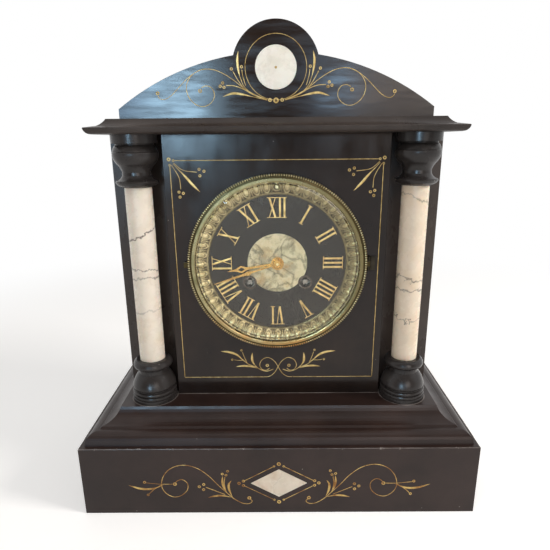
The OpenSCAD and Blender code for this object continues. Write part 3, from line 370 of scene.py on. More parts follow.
class ToolMark(Enum):
    """Marks that the last tool left."""

    POLISHED = "none on stone, hair lines on metal"
    TURNED_UPRIGHT = "fine rings round an upright axis"
    TURNED_FACING = "fine rings round the dial's axis"
    SAWN = "straight saw lines"
    CAST = "the skin of a sand casting"


@dataclass(frozen=True)
class Slate(Finish):
    """Black slate, often sold as black marble: sawn, rubbed down, blacked and waxed.

    To the eye it is a warm black with faint brown clouds, a clear reflection a little broken by wax and
    hand marks, pale specks where grit has pecked it and pale bruises along an exposed edge. The wax
    bends light less than stone does, so the reflection is faint.
    """

    dark: str = "#1c1411"
    light: str = "#2c211b"
    bruise: str = "#8d8580"
    polish: float = 0.12
    haze: float = 0.14
    wax_ior: float = 1.37
    mark: ToolMark = ToolMark.POLISHED
    worn_arris: bool = False
    waxed_joints: bool = False
    streaked: bool = False

    def shader(self, tree: Tree) -> Socket:
        """Clouded colour with pecks and wear under a hazy polish."""
        place = place_in_mm(tree)
        coats = [(cloud(tree, place, 55, 5, (0.35, 0.7)), self.light), (self.pecks(tree, place), self.bruise)]
        if self.worn_arris:
            coats.append((self.bruises(tree, place), self.bruise))
        if self.waxed_joints:
            coats.append((self.joints(tree, place), self.bruise))
        rough = (self.polish, self.polish + self.haze)
        if self.streaked:
            haze = cloud(tree, place_in_mm(tree, (0.16, 1, 1)), 4.5, 5, (0.3, 0.75), rough)
        else:
            haze = cloud(tree, place_in_mm(tree, (1, 1, 0.45)), 22, 6, (0.35, 0.68), rough)
        colour = painted(tree, self.dark, coats)
        surface = {"Base Color": colour, "Roughness": haze, "Normal": self.relief(tree), "IOR": self.wax_ior}
        return add_node(tree, "BsdfPrincipled", surface)[0]

    def relief(self, tree: Tree) -> Socket:
        """Slow waves from the rubbing down, and over them the rings of the lathe or the lines of the saw."""
        waves = cloud(tree, place_in_mm(tree, (0.3, 0.3, 1)), 16, 3, (0.2, 0.8))
        normal = add_node(tree, "Bump", {"Height": waves, "Distance": 0.03 * MM})[0]
        if self.mark is ToolMark.TURNED_UPRIGHT:
            depth, lines = 0.012, cloud(tree, place_in_mm(tree, (0.02, 0.02, 1)), 1.1, 2, (0.3, 0.7))
        elif self.mark is ToolMark.SAWN:
            depth, lines = 0.2, cloud(tree, place_in_mm(tree, (0.03, 0.03, 1)), 2.5, 3, (0.3, 0.7))
        else:
            return normal
        return add_node(tree, "Bump", {"Height": lines, "Distance": depth * MM, "Normal": normal})[0]

    def pecks(self, tree: Tree, place: Socket) -> Socket:
        """Pale specks about 0.4 mm across, one in a few 11 mm cells."""
        cells = add_node(tree, "TexVoronoi", {"Vector": place, "Scale": 1 / 11, "Randomness": 1.0})
        near = {"Value": cells["Distance"], "From Min": 0.045, "From Max": 0.025}
        chance = add_node(tree, "SeparateColor", {"Color": cells["Color"]})[0]
        few = add_node(tree, "Math", {0: chance, 1: 0.72}, operation="GREATER_THAN")[0]
        return add_node(tree, "MapRange", near | {"To Max": few})[0]

    def bruises(self, tree: Tree, place: Socket) -> Socket:
        """A pale line of wear along the plinth's top arris, and a few chips 1 to 3 mm long.

        A point's distance from the arris is the larger of its height off the top and its way in from the
        nearest outer face.
        """
        slab, sides = extent("plinth_front_slab"), extent("plinth_side_slabs")
        x, y, z = add_node(tree, "SeparateXYZ", {0: place})
        off_top = add_node(tree, "Math", {0: z, 1: slab.hi[2]}, operation="SUBTRACT")[0]
        off_top = add_node(tree, "Math", {0: off_top}, operation="ABSOLUTE")[0]
        sideways = add_node(tree, "Math", {0: x}, operation="ABSOLUTE")[0]
        from_side = add_node(tree, "Math", {0: sides.hi[0], 1: sideways}, operation="SUBTRACT")[0]
        from_front = add_node(tree, "Math", {0: y, 1: slab.lo[1]}, operation="SUBTRACT")[0]
        inward = add_node(tree, "Math", {0: from_front, 1: from_side}, operation="MINIMUM")[0]
        away = add_node(tree, "Math", {0: inward, 1: off_top}, operation="MAXIMUM")[0]
        wear = cloud(tree, place, 14, 4, (0.4, 0.62), (0.15, 0.7))
        chips = cloud(tree, place, 6, 5, (0.62, 0.66))
        line, near = (
            add_node(tree, "MapRange", {"Value": away, "From Min": out, "From Max": full, "To Max": most})[0]
            for out, full, most in ((0.6, 0.2, wear), (1.5, 0.8, chips))
        )
        return add_node(tree, "Math", {0: line, 1: near}, operation="MAXIMUM")[0]

    def joints(self, tree: Tree, place: Socket) -> Socket:
        """Old wax in the joints on the ledge: a pale line round each column's foot and along the panel's.

        A point's distance from a foot is its distance from the column's axis less the foot's radius.
        """
        feet, panel = extent("column_bases"), extent("front_panel")
        radius = (feet.hi[1] - feet.lo[1]) / 2
        x, y, z = add_node(tree, "SeparateXYZ", {0: place})
        sideways = add_node(tree, "Math", {0: x}, operation="ABSOLUTE")[0]
        flat = add_node(tree, "CombineXYZ", {0: sideways, 1: y})[0]
        axis = (feet.hi[0] - radius, feet.mid[1], 0)
        reach = add_node(tree, "VectorMath", {0: flat, 1: axis}, operation="DISTANCE")["Value"]
        to_foot = add_node(tree, "Math", {0: reach, 1: radius}, operation="SUBTRACT")[0]
        to_panel = add_node(tree, "Math", {0: panel.lo[1], 1: y}, operation="SUBTRACT")[0]
        to_panel = add_node(tree, "Math", {0: to_panel}, operation="ABSOLUTE")[0]
        beside = add_node(tree, "Math", {0: sideways, 1: panel.hi[0] + 0.5}, operation="SUBTRACT")[0]
        to_panel = add_node(tree, "Math", {0: to_panel, 1: beside}, operation="MAXIMUM")[0]
        nearest = add_node(tree, "Math", {0: to_foot, 1: to_panel}, operation="MINIMUM")[0]
        on_top = add_node(tree, "Math", {0: z, 1: feet.lo[2] - 0.3}, operation="GREATER_THAN")[0]
        wax = cloud(tree, place, 12, 4, (0.4, 0.6), (0.45, 1.0))
        most = add_node(tree, "Math", {0: wax, 1: on_top}, operation="MULTIPLY")[0]
        line = {"Value": nearest, "From Min": 0.95, "From Max": 0.4, "To Max": most}
        return add_node(tree, "MapRange", line)[0]


@dataclass(frozen=True)
class Marble(Finish):
    """White marble, sawn and polished: cream with grey clouds and thin veins, soft where light enters."""

    ground: str = "#e9e0d3"
    shade: str = "#cfc4b6"
    vein: str = "#8d8882"
    stain: str = "#c9b184"
    cloud_size: float = 16
    cloud_levels: Span = (0.4, 0.7)
    shade_share: float = 0.5
    vein_share: float = 0.35
    vein_size: float = 22
    vein_width: float = 0.02
    stain_share: float = 0.0

    def base(self, tree: Tree, place: Socket) -> Socket:
        """Ground colour with clouds, stains and a net of veins."""
        clouds = cloud(tree, place, self.cloud_size, 5, self.cloud_levels, (0, self.shade_share))
        stains = cloud(tree, place, self.cloud_size * 1.4, 3, (0.5, 0.68), (0, self.stain_share))
        coats = [(clouds, self.shade), (stains, self.stain), (self.veins(tree, place), self.vein)]
        return painted(tree, self.ground, coats)

    def veins(self, tree: Tree, place: Socket) -> Socket:
        """Thin lines where a warped noise passes its middle value."""
        warped = {"Vector": place, "Scale": 1 / self.vein_size, "Detail": 5, "Roughness": 0.55}
        noise = add_node(tree, "TexNoise", warped | {"Distortion": 0.8})[0]
        off = add_node(tree, "Math", {0: noise, 1: 0.5}, operation="SUBTRACT")[0]
        off = add_node(tree, "Math", {0: off}, operation="ABSOLUTE")[0]
        line = {"Value": off, "From Min": self.vein_width, "From Max": 0.003, "To Max": self.vein_share}
        return add_node(tree, "MapRange", line)[0]

    def shader(self, tree: Tree) -> Socket:
        """Polished stone with a little light under its skin."""
        place = place_in_mm(tree)
        skin = {"Height": cloud(tree, place, 3, 3, (0.2, 0.8)), "Distance": 0.006 * MM}
        surface = {
            "Base Color": self.base(tree, place),
            "Roughness": cloud(tree, place, 9, 5, (0.3, 0.7), (0.2, 0.34)),
            "Normal": add_node(tree, "Bump", skin)[0], "IOR": 1.5,
            "Subsurface Weight": 0.12, "Subsurface Scale": 0.002,
        }
        return add_node(tree, "BsdfPrincipled", surface)[0]


@dataclass(frozen=True)
class Vein:
    """One dark vein across a column: its height at the column's middle, its slope and how crooked it is."""

    height: float
    slope: float
    crook: float
    strength: float


@dataclass(frozen=True)
class ColumnMarble(Marble):
    """The columns' marble: cream white, turned and polished, with a few crooked veins across each shaft, and
    painted shade that makes the right shaft darker and warmer.
    """

    left: tuple[Vein, ...] = ()
    right: tuple[Vein, ...] = ()
    column_x: float = 110
    # Share of the stain colour laid on the right shaft as painted shade, darker and warmer than the left
    right_shaft_painted_shade: float = 0.3

    def base(self, tree: Tree, place: Socket) -> Socket:
        """The clouded ground with the veins of the column that the point is on.

        A point's distance from a vein is its height over the vein's slanting line, shifted by two waves.
        """
        x, _, z = add_node(tree, "SeparateXYZ", {0: place})
        fine, broad = (cloud(tree, place, size, detail, (0.25, 0.75)) for size, detail in ((6, 4), (14, 2)))
        on_left = add_node(tree, "Math", {0: x, 1: 0.0}, operation="LESS_THAN")[0]
        on_right = add_node(tree, "Math", {0: x, 1: 0.0}, operation="GREATER_THAN")[0]
        # Painted shade: the right shaft is made darker and warmer than the left
        painted_shade_on_right = add_node(tree, "Math", {0: on_right, 1: self.right_shaft_painted_shade}, operation="MULTIPLY")[0]
        coats = [(painted_shade_on_right, self.stain)]
        sides = [(-self.column_x, on_left, vein) for vein in self.left]
        sides += [(self.column_x, on_right, vein) for vein in self.right]
        for middle, on_side, vein in sides:
            # Half of what the two waves can add is taken off, so that they shift the vein both ways
            away = vein.slope * middle - vein.height - (1 + 0.8) / 2 * vein.crook
            for wave, reach in ((x, -vein.slope), (fine, vein.crook), (broad, 0.8 * vein.crook), (z, 1)):
                away = add_node(tree, "Math", {0: wave, 1: reach, 2: away}, operation="MULTIPLY_ADD")[0]
            away = add_node(tree, "Math", {0: away}, operation="ABSOLUTE")[0]
            fade = {"Value": broad, "To Min": 0.5 * vein.strength, "To Max": vein.strength}
            fade = {0: add_node(tree, "MapRange", fade)[0], 1: on_side}
            full = add_node(tree, "Math", fade, operation="MULTIPLY")[0]
            line = {"Value": away, "From Min": 1.0, "From Max": 0.25, "To Max": full}
            coats.append((add_node(tree, "MapRange", line)[0], self.vein))
        return painted(tree, super().base(tree, place), coats)


@dataclass(frozen=True)
class Metal(Finish):
    """A metal with patina clouds, its polish between two roughnesses, and the marks of its last tool.

    Painted shade comes in towards the right, copper towards the bottom, the hollow colour where the painted
    brightness is low, and the rim colour past a radius from the dial's axis. Spans are in millimetres, the
    copper's measured down from the axis.
    """

    bright: str
    dull: str
    rough: Span
    patina_size: float = 12
    patina_levels: Span = (0.4, 0.68)
    mark: ToolMark = ToolMark.POLISHED
    mark_depth: float = 0.01
    metallic: float = 1.0
    copper: str | None = None
    copper_span: Span = (40, 66)
    hollow: str | None = None
    # Colour of the painted shade laid on towards the right, and the x positions where it starts and is full
    painted_shade_right: str | None = None
    painted_shade_right_span: Span = (-30, 55)
    rim: str | None = None
    rim_span: Span = (70.5, 70.8)

    def colour(self, tree: Tree, place: Socket, patina: Socket) -> Socket:
        """Patina, and what else has coloured the metal."""
        x, _, z = add_node(tree, "SeparateXYZ", {0: place})
        coats = [(patina, self.dull)]
        # Painted shade: the colour darkens towards the right across the span
        if self.painted_shade_right:
            start, end = self.painted_shade_right_span
            right = {"Value": x, "From Min": start, "From Max": end, "To Max": 0.75}
            coats.append((add_node(tree, "MapRange", right)[0], self.painted_shade_right))
        if self.copper:
            start, end = (DIAL_AXIS_HEIGHT - drop for drop in self.copper_span)
            worn = cloud(tree, place, 30, 4, (0.35, 0.55))
            low = {"Value": z, "From Min": start, "From Max": end, "To Max": worn}
            coats.append((add_node(tree, "MapRange", low)[0], self.copper))
        if self.rim:
            start, end = self.rim_span
            past = {"Value": self.reach(tree), "From Min": start, "From Max": end}
            coats.append((add_node(tree, "MapRange", past)[0], self.rim))
        colour = painted(tree, self.bright, coats)
        if not self.hollow:
            return colour
        # The hollow colour is laid where the painted brightness is 0, as painted shade in the egg and dart's
        # hollows
        painted_brightness = add_node(tree, "Attribute", attribute_name="painted_brightness")["Fac"]
        return painted(tree, self.hollow, [(painted_brightness, colour)])

    def reach(self, tree: Tree) -> Socket:
        """Distance from the dial's axis in millimetres."""
        away = {0: place_in_mm(tree, (1, 0, 1)), 1: (0, 0, DIAL_AXIS_HEIGHT)}
        return add_node(tree, "VectorMath", away, operation="DISTANCE")["Value"]

    def shader(self, tree: Tree) -> Socket:
        """Two-tone metal, duller where the patina lies."""
        place = place_in_mm(tree)
        patina = cloud(tree, place, self.patina_size, 5, self.patina_levels)
        rough = {"Value": patina, "To Min": self.rough[0], "To Max": self.rough[1]}
        marks = {"Height": self.marks(tree), "Distance": self.mark_depth * MM}
        surface = {
            "Base Color": self.colour(tree, place, patina), "Metallic": self.metallic,
            "Roughness": add_node(tree, "MapRange", rough)[0], "Normal": add_node(tree, "Bump", marks)[0],
        }
        return add_node(tree, "BsdfPrincipled", surface)[0]

    def marks(self, tree: Tree) -> Socket:
        """Height of the tool marks."""
        if self.mark is ToolMark.TURNED_FACING:
            rings = {"W": self.reach(tree), "Scale": 2.2, "Detail": 3}
            return add_node(tree, "TexNoise", rings, noise_dimensions="1D")[0]
        if self.mark is ToolMark.CAST:
            return cloud(tree, place_in_mm(tree), 0.9, 4, (0.2, 0.8))
        return cloud(tree, place_in_mm(tree, (1, 1, 0.15)), 0.6, 3, (0.2, 0.8))


@dataclass(frozen=True)
class Glass(Finish):
    """Plate glass with a ground bevel: clear, a little grey, and the lamps light the dial through it."""

    tint: str = "#faf8f4"
    ior: float = 1.42

    def shader(self, tree: Tree) -> Socket:
        """Clear glass that casts no dark shadow."""
        pane = add_node(tree, "BsdfGlass", {"Color": self.tint, "Roughness": 0.0, "IOR": self.ior})[0]
        clear = add_node(tree, "BsdfTransparent", {"Color": self.tint})[0]
        shadow = add_node(tree, "LightPath")["Is Shadow Ray"]
        return add_node(tree, "MixShader", {0: shadow, 1: pane, 2: clear})[0]


def seen_directly(tree: Tree) -> Socket:
    """1 for rays from the camera, from a reflection and through glass, else 0."""
    rays = add_node(tree, "LightPath")
    seen = rays["Is Camera Ray"]
    for ray in ("Is Glossy Ray", "Is Transmission Ray"):
        seen = add_node(tree, "Math", {0: seen, 1: rays[ray]}, operation="MAXIMUM")[0]
    return seen


@dataclass(frozen=True)
class StudioPaper(Finish):
    """White background paper: matt, shown almost white, with the clock's soft shadow left in it."""

    paper: str = "#fbfaf9"
    fibre: str = "#f7f6f5"
    glow: float = 0.28
    fade_to_white: Span = (450, 1000)

    def shader(self, tree: Tree) -> Socket:
        """Matt paper, a little lifted where it is seen near the clock, and white farther away."""
        place, seen = place_in_mm(tree), seen_directly(tree)
        colour = painted(tree, self.paper, [(cloud(tree, place, 6, 3, (0.3, 0.7)), self.fibre)])
        paper = add_node(tree, "BsdfDiffuse", {"Color": colour})[0]
        strength = add_node(tree, "Math", {0: seen, 1: self.glow}, operation="MULTIPLY")[0]
        glow = add_node(tree, "Emission", {"Strength": strength})[0]
        lifted = add_node(tree, "AddShader", {0: paper, 1: glow})[0]
        white = add_node(tree, "Emission", {"Strength": 1.0})[0]
        reach = add_node(tree, "VectorMath", {0: place}, operation="LENGTH")["Value"]
        near, far = self.fade_to_white
        away = {"Value": reach, "From Min": near, "From Max": far, "To Max": seen}
        share = add_node(tree, "MapRange", away, interpolation_type="SMOOTHSTEP")[0]
        return add_node(tree, "MixShader", {0: share, 1: lifted, 2: white})[0]


CASE_SLATE = Slate("waxed_black_slate", "black_slate")
# The wall behind the columns is greyer than the case: a painted reflection that stands for the room seen in
# its polish
BAY_SLATE = Slate("bay_slate_painted_reflection", "black_slate", dark="#3c3430", light="#483f3a", polish=0.2, haze=0.2)
# The dial's slate is a deeper black under its glass, where no wax or dust reaches
DIAL_SLATE = Slate("dial_black_slate", "black_slate", dark="#0e0b0a", light="#181412", polish=0.2, haze=0.1)
# The pediment was waxed with strokes along its length, which break its reflection into streaks
PEDIMENT_SLATE = Slate("streaked_black_slate", "black_slate", polish=0.08, haze=0.2, streaked=True)
# The cornice is greyer, from dust settled in the wax of its edge
CORNICE_SLATE = Slate(
    "dusty_black_slate", "black_slate", dark="#2a2320", light="#423a36", polish=0.26, haze=0.2
)
# The plinth is browner and more worn than the case, and its top edge is bruised
PLINTH_SLATE = Slate(
    "worn_black_slate", "black_slate", dark="#251a17", light="#362824", polish=0.28,
    worn_arris=True, waxed_joints=True
)
# The bases and capitals were polished on the lathe, which leaves a greyer skin with fine rings
TURNED_SLATE = Slate(
    "turned_black_slate", "dark_slate", dark="#242120", light="#353130", polish=0.2,
    mark=ToolMark.TURNED_UPRIGHT
)
# Faces that are never seen are left from the saw, with its lines across them
SAWN_SLATE = Slate(
    "sawn_slate", "rough_slate", dark="#1c1917", light="#24201d", polish=0.7, haze=0.1, mark=ToolMark.SAWN
)
# The roundel is the whitest piece, with hardly a vein
ROUNDEL_MARBLE = Marble(
    "roundel_marble", "white_marble", ground="#fbf6ea", shade="#e6dcc6", vein="#a79f93",
    cloud_size=13, vein_share=0.1
)
# The diamond's piece is duller, with a grey vein or two and a brown stain
DIAMOND_MARBLE = Marble(
    "diamond_marble", "white_marble", ground="#e8dccb", shade="#cfc0ab", vein="#8d857b", stain="#b98f66",
    cloud_size=13, vein_share=0.15, vein_size=48, stain_share=0.4
)
# The dial's centre is yellowed, with grey green clouds and wide soft veins
DIAL_MARBLE = Marble(
    "clouded_dial_marble", "dial_marble", ground="#cfc4a2", shade="#837c63", vein="#565139", stain="#b8935c",
    cloud_size=10, cloud_levels=(0.47, 0.6), shade_share=0.7, vein_share=0.7, vein_size=19, vein_width=0.05,
    stain_share=0.6
)
COLUMN_MARBLE = ColumnMarble(
    "veined_column_marble", "veined_marble", ground="#efe5d6", shade="#dccfbd", vein="#4d433c",
    vein_share=0.0, stain="#d8b98f", stain_share=0.25, column_x=extent("column_shafts").hi[0] - 10.7,
    left=(
        Vein(232.5, 0.5, 5, 0.95), Vein(204, 0, 8, 0.95), Vein(195.5, 0.1, 4, 0.85), Vein(167.6, 0, 5, 0.35)
    ),
    right=(
        Vein(259.8, -0.37, 5, 0.7), Vein(192.8, -0.25, 6, 0.9), Vein(184.2, 0, 5, 0.9),
        Vein(158.8, -0.3, 11, 0.9)
    ),
)
# Gold leaf on size in cut lines: a warm yellow with worn orange patches, only half bright
GILDING = Metal(
    "leaf_gilding", "gilt_brass", "#dabb7a", "#a58345", (0.38, 0.55), patina_size=5,
    mark=ToolMark.CAST, metallic=0.65
)
# The plinth's gilding is the most worn: orange and brown where the leaf has gone from the size
WORN_GILDING = Metal(
    "worn_leaf_gilding", "gilt_brass", "#cfae68", "#8f6230", (0.4, 0.6), patina_size=9,
    patina_levels=(0.38, 0.6), mark=ToolMark.CAST, metallic=0.6
)
# Fire-gilt brass hands: bright yellow gold, filed and burnished
GILT_HANDS = Metal("gilt_brass_hands", "gilt_brass", "#dcb56c", "#ab7c3a", (0.2, 0.34), patina_size=6)
# Spun brass under old lacquer: olive where it has gone dull
AGED_BRASS = Metal(
    "aged_lacquered_brass", "aged_brass", "#a08a58", "#6a5b38", (0.22, 0.42), patina_size=14,
    mark=ToolMark.TURNED_FACING
)
# Cast brass of the back: turned, lacquered and evenly browned by age
BACK_BRASS = Metal(
    "browned_cast_brass", "aged_brass", "#9c8654", "#7f6b3c", (0.3, 0.42), patina_size=45,
    mark=ToolMark.TURNED_FACING, mark_depth=0.02
)
# The bezel's spun brass is grey olive, darker under its milled edge, with painted shade towards the right,
# and rubbed to copper at the bottom
BEZEL_BRASS = Metal(
    "spun_bezel_brass", "aged_brass", "#a0956e", "#786e4a", (0.24, 0.4), patina_size=14,
    mark=ToolMark.TURNED_FACING, metallic=0.8, copper="#a9834e", painted_shade_right="#6a5f3e", rim="#40351a"
)
# Milled brass: painted bright on the tooth tips and near black between the teeth
MILLED_BRASS = Metal(
    "milled_bezel_brass", "aged_brass", "#dccb9c", "#a8976a", (0.24, 0.4), mark=ToolMark.CAST,
    mark_depth=0.005, copper="#c98d4c", hollow="#17110a"
)
# Stamped brass, once silvered: grey olive, with painted shade in the relief's hollows and towards the right,
# and painted highlights on the eggs
STAMPED_BRASS = Metal(
    "stamped_silvered_brass", "aged_brass", "#e2d5aa", "#ab9f70", (0.14, 0.28), patina_size=9,
    mark=ToolMark.CAST, mark_depth=0.008, metallic=0.7, painted_shade_right="#8f8459", hollow="#5a5031"
)
# The hinge's brass is near brown black
BLACK_BRASS = Metal("near_black_hinge_brass", "aged_brass", "#39332a", "#221e18", (0.4, 0.6))
# Brass bushes blackened by acid and oiled, which leaves them near black with a grey sheen
BLACKENED_BRASS = Metal(
    "blackened_brass", "aged_brass", "#5e554d", "#3b332d", (0.25, 0.4), patina_size=4,
    mark=ToolMark.TURNED_FACING
)
# Cast and rolled clock brass under lacquer: clean yellow with hair lines from polishing
CLOCK_BRASS = Metal("clock_brass", "clock_brass", "#cba75a", "#a07f3f", (0.24, 0.38))
# Cast bell metal, turned outside: paler and greyer than brass
BELL_METAL = Metal(
    "turned_bell_metal", "bell_metal", "#b9a279", "#8b7a58", (0.2, 0.36), mark=ToolMark.TURNED_FACING,
    mark_depth=0.02
)
# Hardened steel, filed and polished: cool grey with a thin brown bloom
STEEL = Metal("polished_steel", "steel", "#a4a6a8", "#6f6a64", (0.2, 0.4), patina_size=7)
# The winding squares' steel is browner, from oil and handling
OILED_STEEL = Metal("oiled_steel", "steel", "#aaa69f", "#5a5550", (0.25, 0.45), patina_size=4)
# Steel blued by heat: dark peacock blue that turns purple in patches
BLUED_STEEL = Metal("blued_steel", "blued_steel", "#2c3f6e", "#3a2c4e", (0.18, 0.3), patina_size=5)
BEVELLED_GLASS = Glass("bevelled_plate_glass", "glass")
PAPER = StudioPaper("background_paper", "")


# Gilt ornament

class Width(Enum):
    """How the width of a stroke runs along it."""

    EVEN = "a cut line with round ends"
    LEAF = "pointed at both ends and widest past its middle"
    BAR = "blunt at both ends"


@dataclass
class Gilding:
    """Gilt work on one upright face: strokes, leaves and beads gathered into one piece.

    A point is given as its distance out from the centre line and its height over the anchor. The work is
    laid in cut lines, so it is shown as a low cushion that stands a little proud of the face.
    """

    name: str
    face_y: float
    anchor: tuple[float, float]
    mirrored: bool = True
    finish: Metal = GILDING
    rise: float = 0.1
    sink: float = 0.06
    ring_rise: float = 0.13
    bead_hole: float = 0.42
    bead_points: int = 20
    sides: int = 8

    def __post_init__(self) -> None:
        """Starts with no surfaces."""
        self.surfaces: list[Surface] = []

    def copies(self, points: np.ndarray) -> list[np.ndarray]:
        """The points in place, and their mirror image where the ornament has one."""
        signs = (-1, 1) if self.mirrored else (1,)
        return [points * (sign, 1) + self.anchor for sign in signs]

    def stroke(self, points: Path, width: float, kind: Width = Width.EVEN) -> None:
        """Adds a stroke whose cushion-shaped section is carried along a smooth path.

        Args:
            points: Chosen points of the path.
            width: Greatest width in millimetres.
            kind: How the width runs along it.
        """
        path = smooth_path(points)
        share = np.linspace(0, 1, len(path))
        length = np.linalg.norm(np.diff(path, axis=0), axis=1).sum()
        if kind is Width.LEAF:
            spread = np.sin(pi * share**1.25) ** 0.85
        elif kind is Width.EVEN:
            to_end = np.clip(np.minimum(share, 1 - share) * length / (width / 2), 0, 1)
            spread = np.sqrt(1 - (1 - to_end) ** 2)
        else:
            spread = np.ones(len(path))
            path = np.concatenate([path[:1], path, path[-1:]])
            spread = np.concatenate([[0.0], spread, [0.0]])
        for placed in self.copies(path):
            self.surfaces.append(self.cushion(placed, spread * width))

    def cushion(self, path: np.ndarray, widths: np.ndarray) -> Surface:
        """Carries the section along a path.

        The section is a half-ellipse in front and a shallower one behind, set square to the path.
        """
        ahead = np.gradient(path, axis=0)
        ahead[0], ahead[-1] = path[2] - path[0], path[-1] - path[-3]
        ahead /= np.linalg.norm(ahead, axis=1)[:, None]
        aside = np.stack([-ahead[:, 1], ahead[:, 0]], axis=1)
        turn = np.arange(self.sides) / self.sides * tau
        across = np.cos(turn)[None, :, None] * (widths / 2)[:, None, None] * aside[:, None, :]
        fullness = np.clip(widths / max(widths.max(), 1e-9), 0, 1) ** 0.5
        out = np.where(np.sin(turn) > 0, self.rise, self.sink) * np.sin(turn)
        flat = path[:, None, :] + across
        depth = self.face_y - out[None, :] * fullness[:, None]
        return Surface.rod(np.stack([flat[..., 0], depth, flat[..., 1]], axis=-1))

    def bead(self, out: float, up: float, radius: float) -> None:
        """Adds a small gilt ring of this outer radius round a dark centre."""
        middle, width = radius * (1 + self.bead_hole) / 2, radius * (1 - self.bead_hole)
        self.circle(out, up, middle, width, self.bead_points)

    def circle(self, out: float, up: float, radius: float, width: float, stations: int) -> None:
        """Adds a closed circle: the stroke's section carried round a centre.

        Args:
            out: Distance of its centre from the centre line.
            up: Height of its centre over the anchor.
            radius: Radius of the middle of its line in millimetres.
            width: Width of its line.
            stations: Sections round it.
        """
        angle = np.arange(stations) / stations * tau
        turn = np.arange(self.sides) / self.sides * tau
        reach = radius + np.cos(turn)[None, :] * width / 2
        lift = np.where(np.sin(turn) > 0, self.ring_rise, self.sink) * np.sin(turn)
        depth = np.broadcast_to(self.face_y - lift, (stations, self.sides))
        # On the centre line the mirror image would be the same circle again
        centres = self.copies(np.array([[out, up]], float))[:2 if out else 1]
        for centre in centres:
            x = centre[0, 0] + np.cos(angle)[:, None] * reach
            z = centre[0, 1] + np.sin(angle)[:, None] * reach
            self.surfaces.append(Surface.ring(np.stack([x, depth, z], axis=-1)))

    def spray(self, stem: Path, berries: Path, radius: float, width: float = 0.6) -> None:
        """Adds a stem that ends in berries."""
        self.stroke(stem, width)
        for out, up in berries:
            self.bead(out, up, radius)

    def piece(self) -> bpy.types.Object:
        """The finished piece, riding on the case."""
        return make_piece(self.name, Surface.joined(self.surfaces), self.finish, "root", crease=60)


# Sub-assemblies

@dataclass
class Plinth:
    """Hollow plinth of five slabs under a moulded slab, with a marble diamond and gilt scrolls in front."""

    line: float = 0.52
    leaf: float = 1.9
    berry: float = 1.3
    diamond_gap: tuple[float, float] = (9.8, 5.2)

    def build(self) -> list[bpy.types.Object]:
        """Dresses the slabs and adds the gilt work."""
        dress(PLINTH_SLATE, "plinth_front_slab", "plinth_back_slab", "plinth_side_slabs", "plinth_moulding")
        dress(SAWN_SLATE, "plinth_floor")
        dress(DIAMOND_MARBLE, "diamond_inlay")
        for node in ("plinth_front_slab", "plinth_back_slab", "plinth_side_slabs"):
            soften_edges(node, 0.5)
        soften_edges("plinth_moulding", 0.25)
        return [self.scrolls()]

    def scrolls(self) -> bpy.types.Object:
        """Gilt diamond with beads, and a leafy scroll on each side."""
        diamond = extent("diamond_inlay")
        face = extent("plinth_front_slab").lo[1]
        work = Gilding("plinth_gilding", face, (0, diamond.mid[2]), finish=WORN_GILDING)
        side = diamond.hi[0] + self.diamond_gap[0]
        top = diamond.hi[2] - diamond.mid[2] + self.diamond_gap[1]
        for sign in (-1, 1):
            work.stroke([(4, sign * (top - 2.2)), (side - 3.8, sign * 2.1)], self.line)
            work.bead(0, sign * top, self.berry * 1.3)
            work.bead(4, sign * (top - 2.2), self.berry * 0.75)
            work.bead(side - 3.6, sign * 2.2, self.berry)
        work.bead(side, 0.1, self.berry * 1.1)
        work.stroke([
            (24.8, -15.5), (22.7, -17.6), (24.4, -19.9), (29.4, -20.3), (36.8, -16.2), (44.1, -8.9),
            (51.2, -1.2), (58.5, 7.6), (67.3, 14.8), (76.3, 17.9), (84, 17.4), (91.6, 13.3), (96.9, 5.4),
            (98, -3.2), (94.6, -9.8), (88.5, -13.2), (81.8, -11.5), (76.6, -5.5), (76.6, 0.5), (80.7, 4),
            (85, 2.6), (86.6, 0.5)
        ], self.line * 1.15)
        work.bead(25.1, -14.6, self.berry * 1.25)
        work.bead(87, -0.4, self.berry * 1.25)
        work.spray([(88.8, -0.4), (98.5, -0.4), (110.8, 0.9)], [(112.2, 1.5)], self.berry, self.line)
        work.spray([(98, -1), (104.5, -5.4), (109.4, -10.2)], [(110.2, -11)], self.berry * 0.9)
        work.stroke([(96, -0.8), (102, -3.6), (108, -5.2), (116, -4.8), (126, -1.4)], self.leaf, Width.LEAF)
        work.stroke([(39, -14), (41.6, -7), (41.9, -1), (39.6, 3)], self.leaf, Width.LEAF)
        work.stroke([(43.5, -9.5), (46.2, -4), (47.2, 2), (46.8, 7.4)], self.leaf, Width.LEAF)
        work.stroke([(39.5, -13.8), (47.9, -12.2), (54, -12.6), (59.8, -14)], self.leaf * 0.9, Width.LEAF)
        work.spray([(44.3, -9), (45.7, 0), (44.9, 6.6)], [(47, 9.3), (44, 8.2), (42.5, 12)], self.berry * 0.9)
        berries = [(66.7, -3.1), (62.9, -0.9), (63.2, -6)]
        work.spray([(45.1, -11.2), (53.5, -7.2), (61.4, -3.6)], berries, self.berry)
        return work.piece()


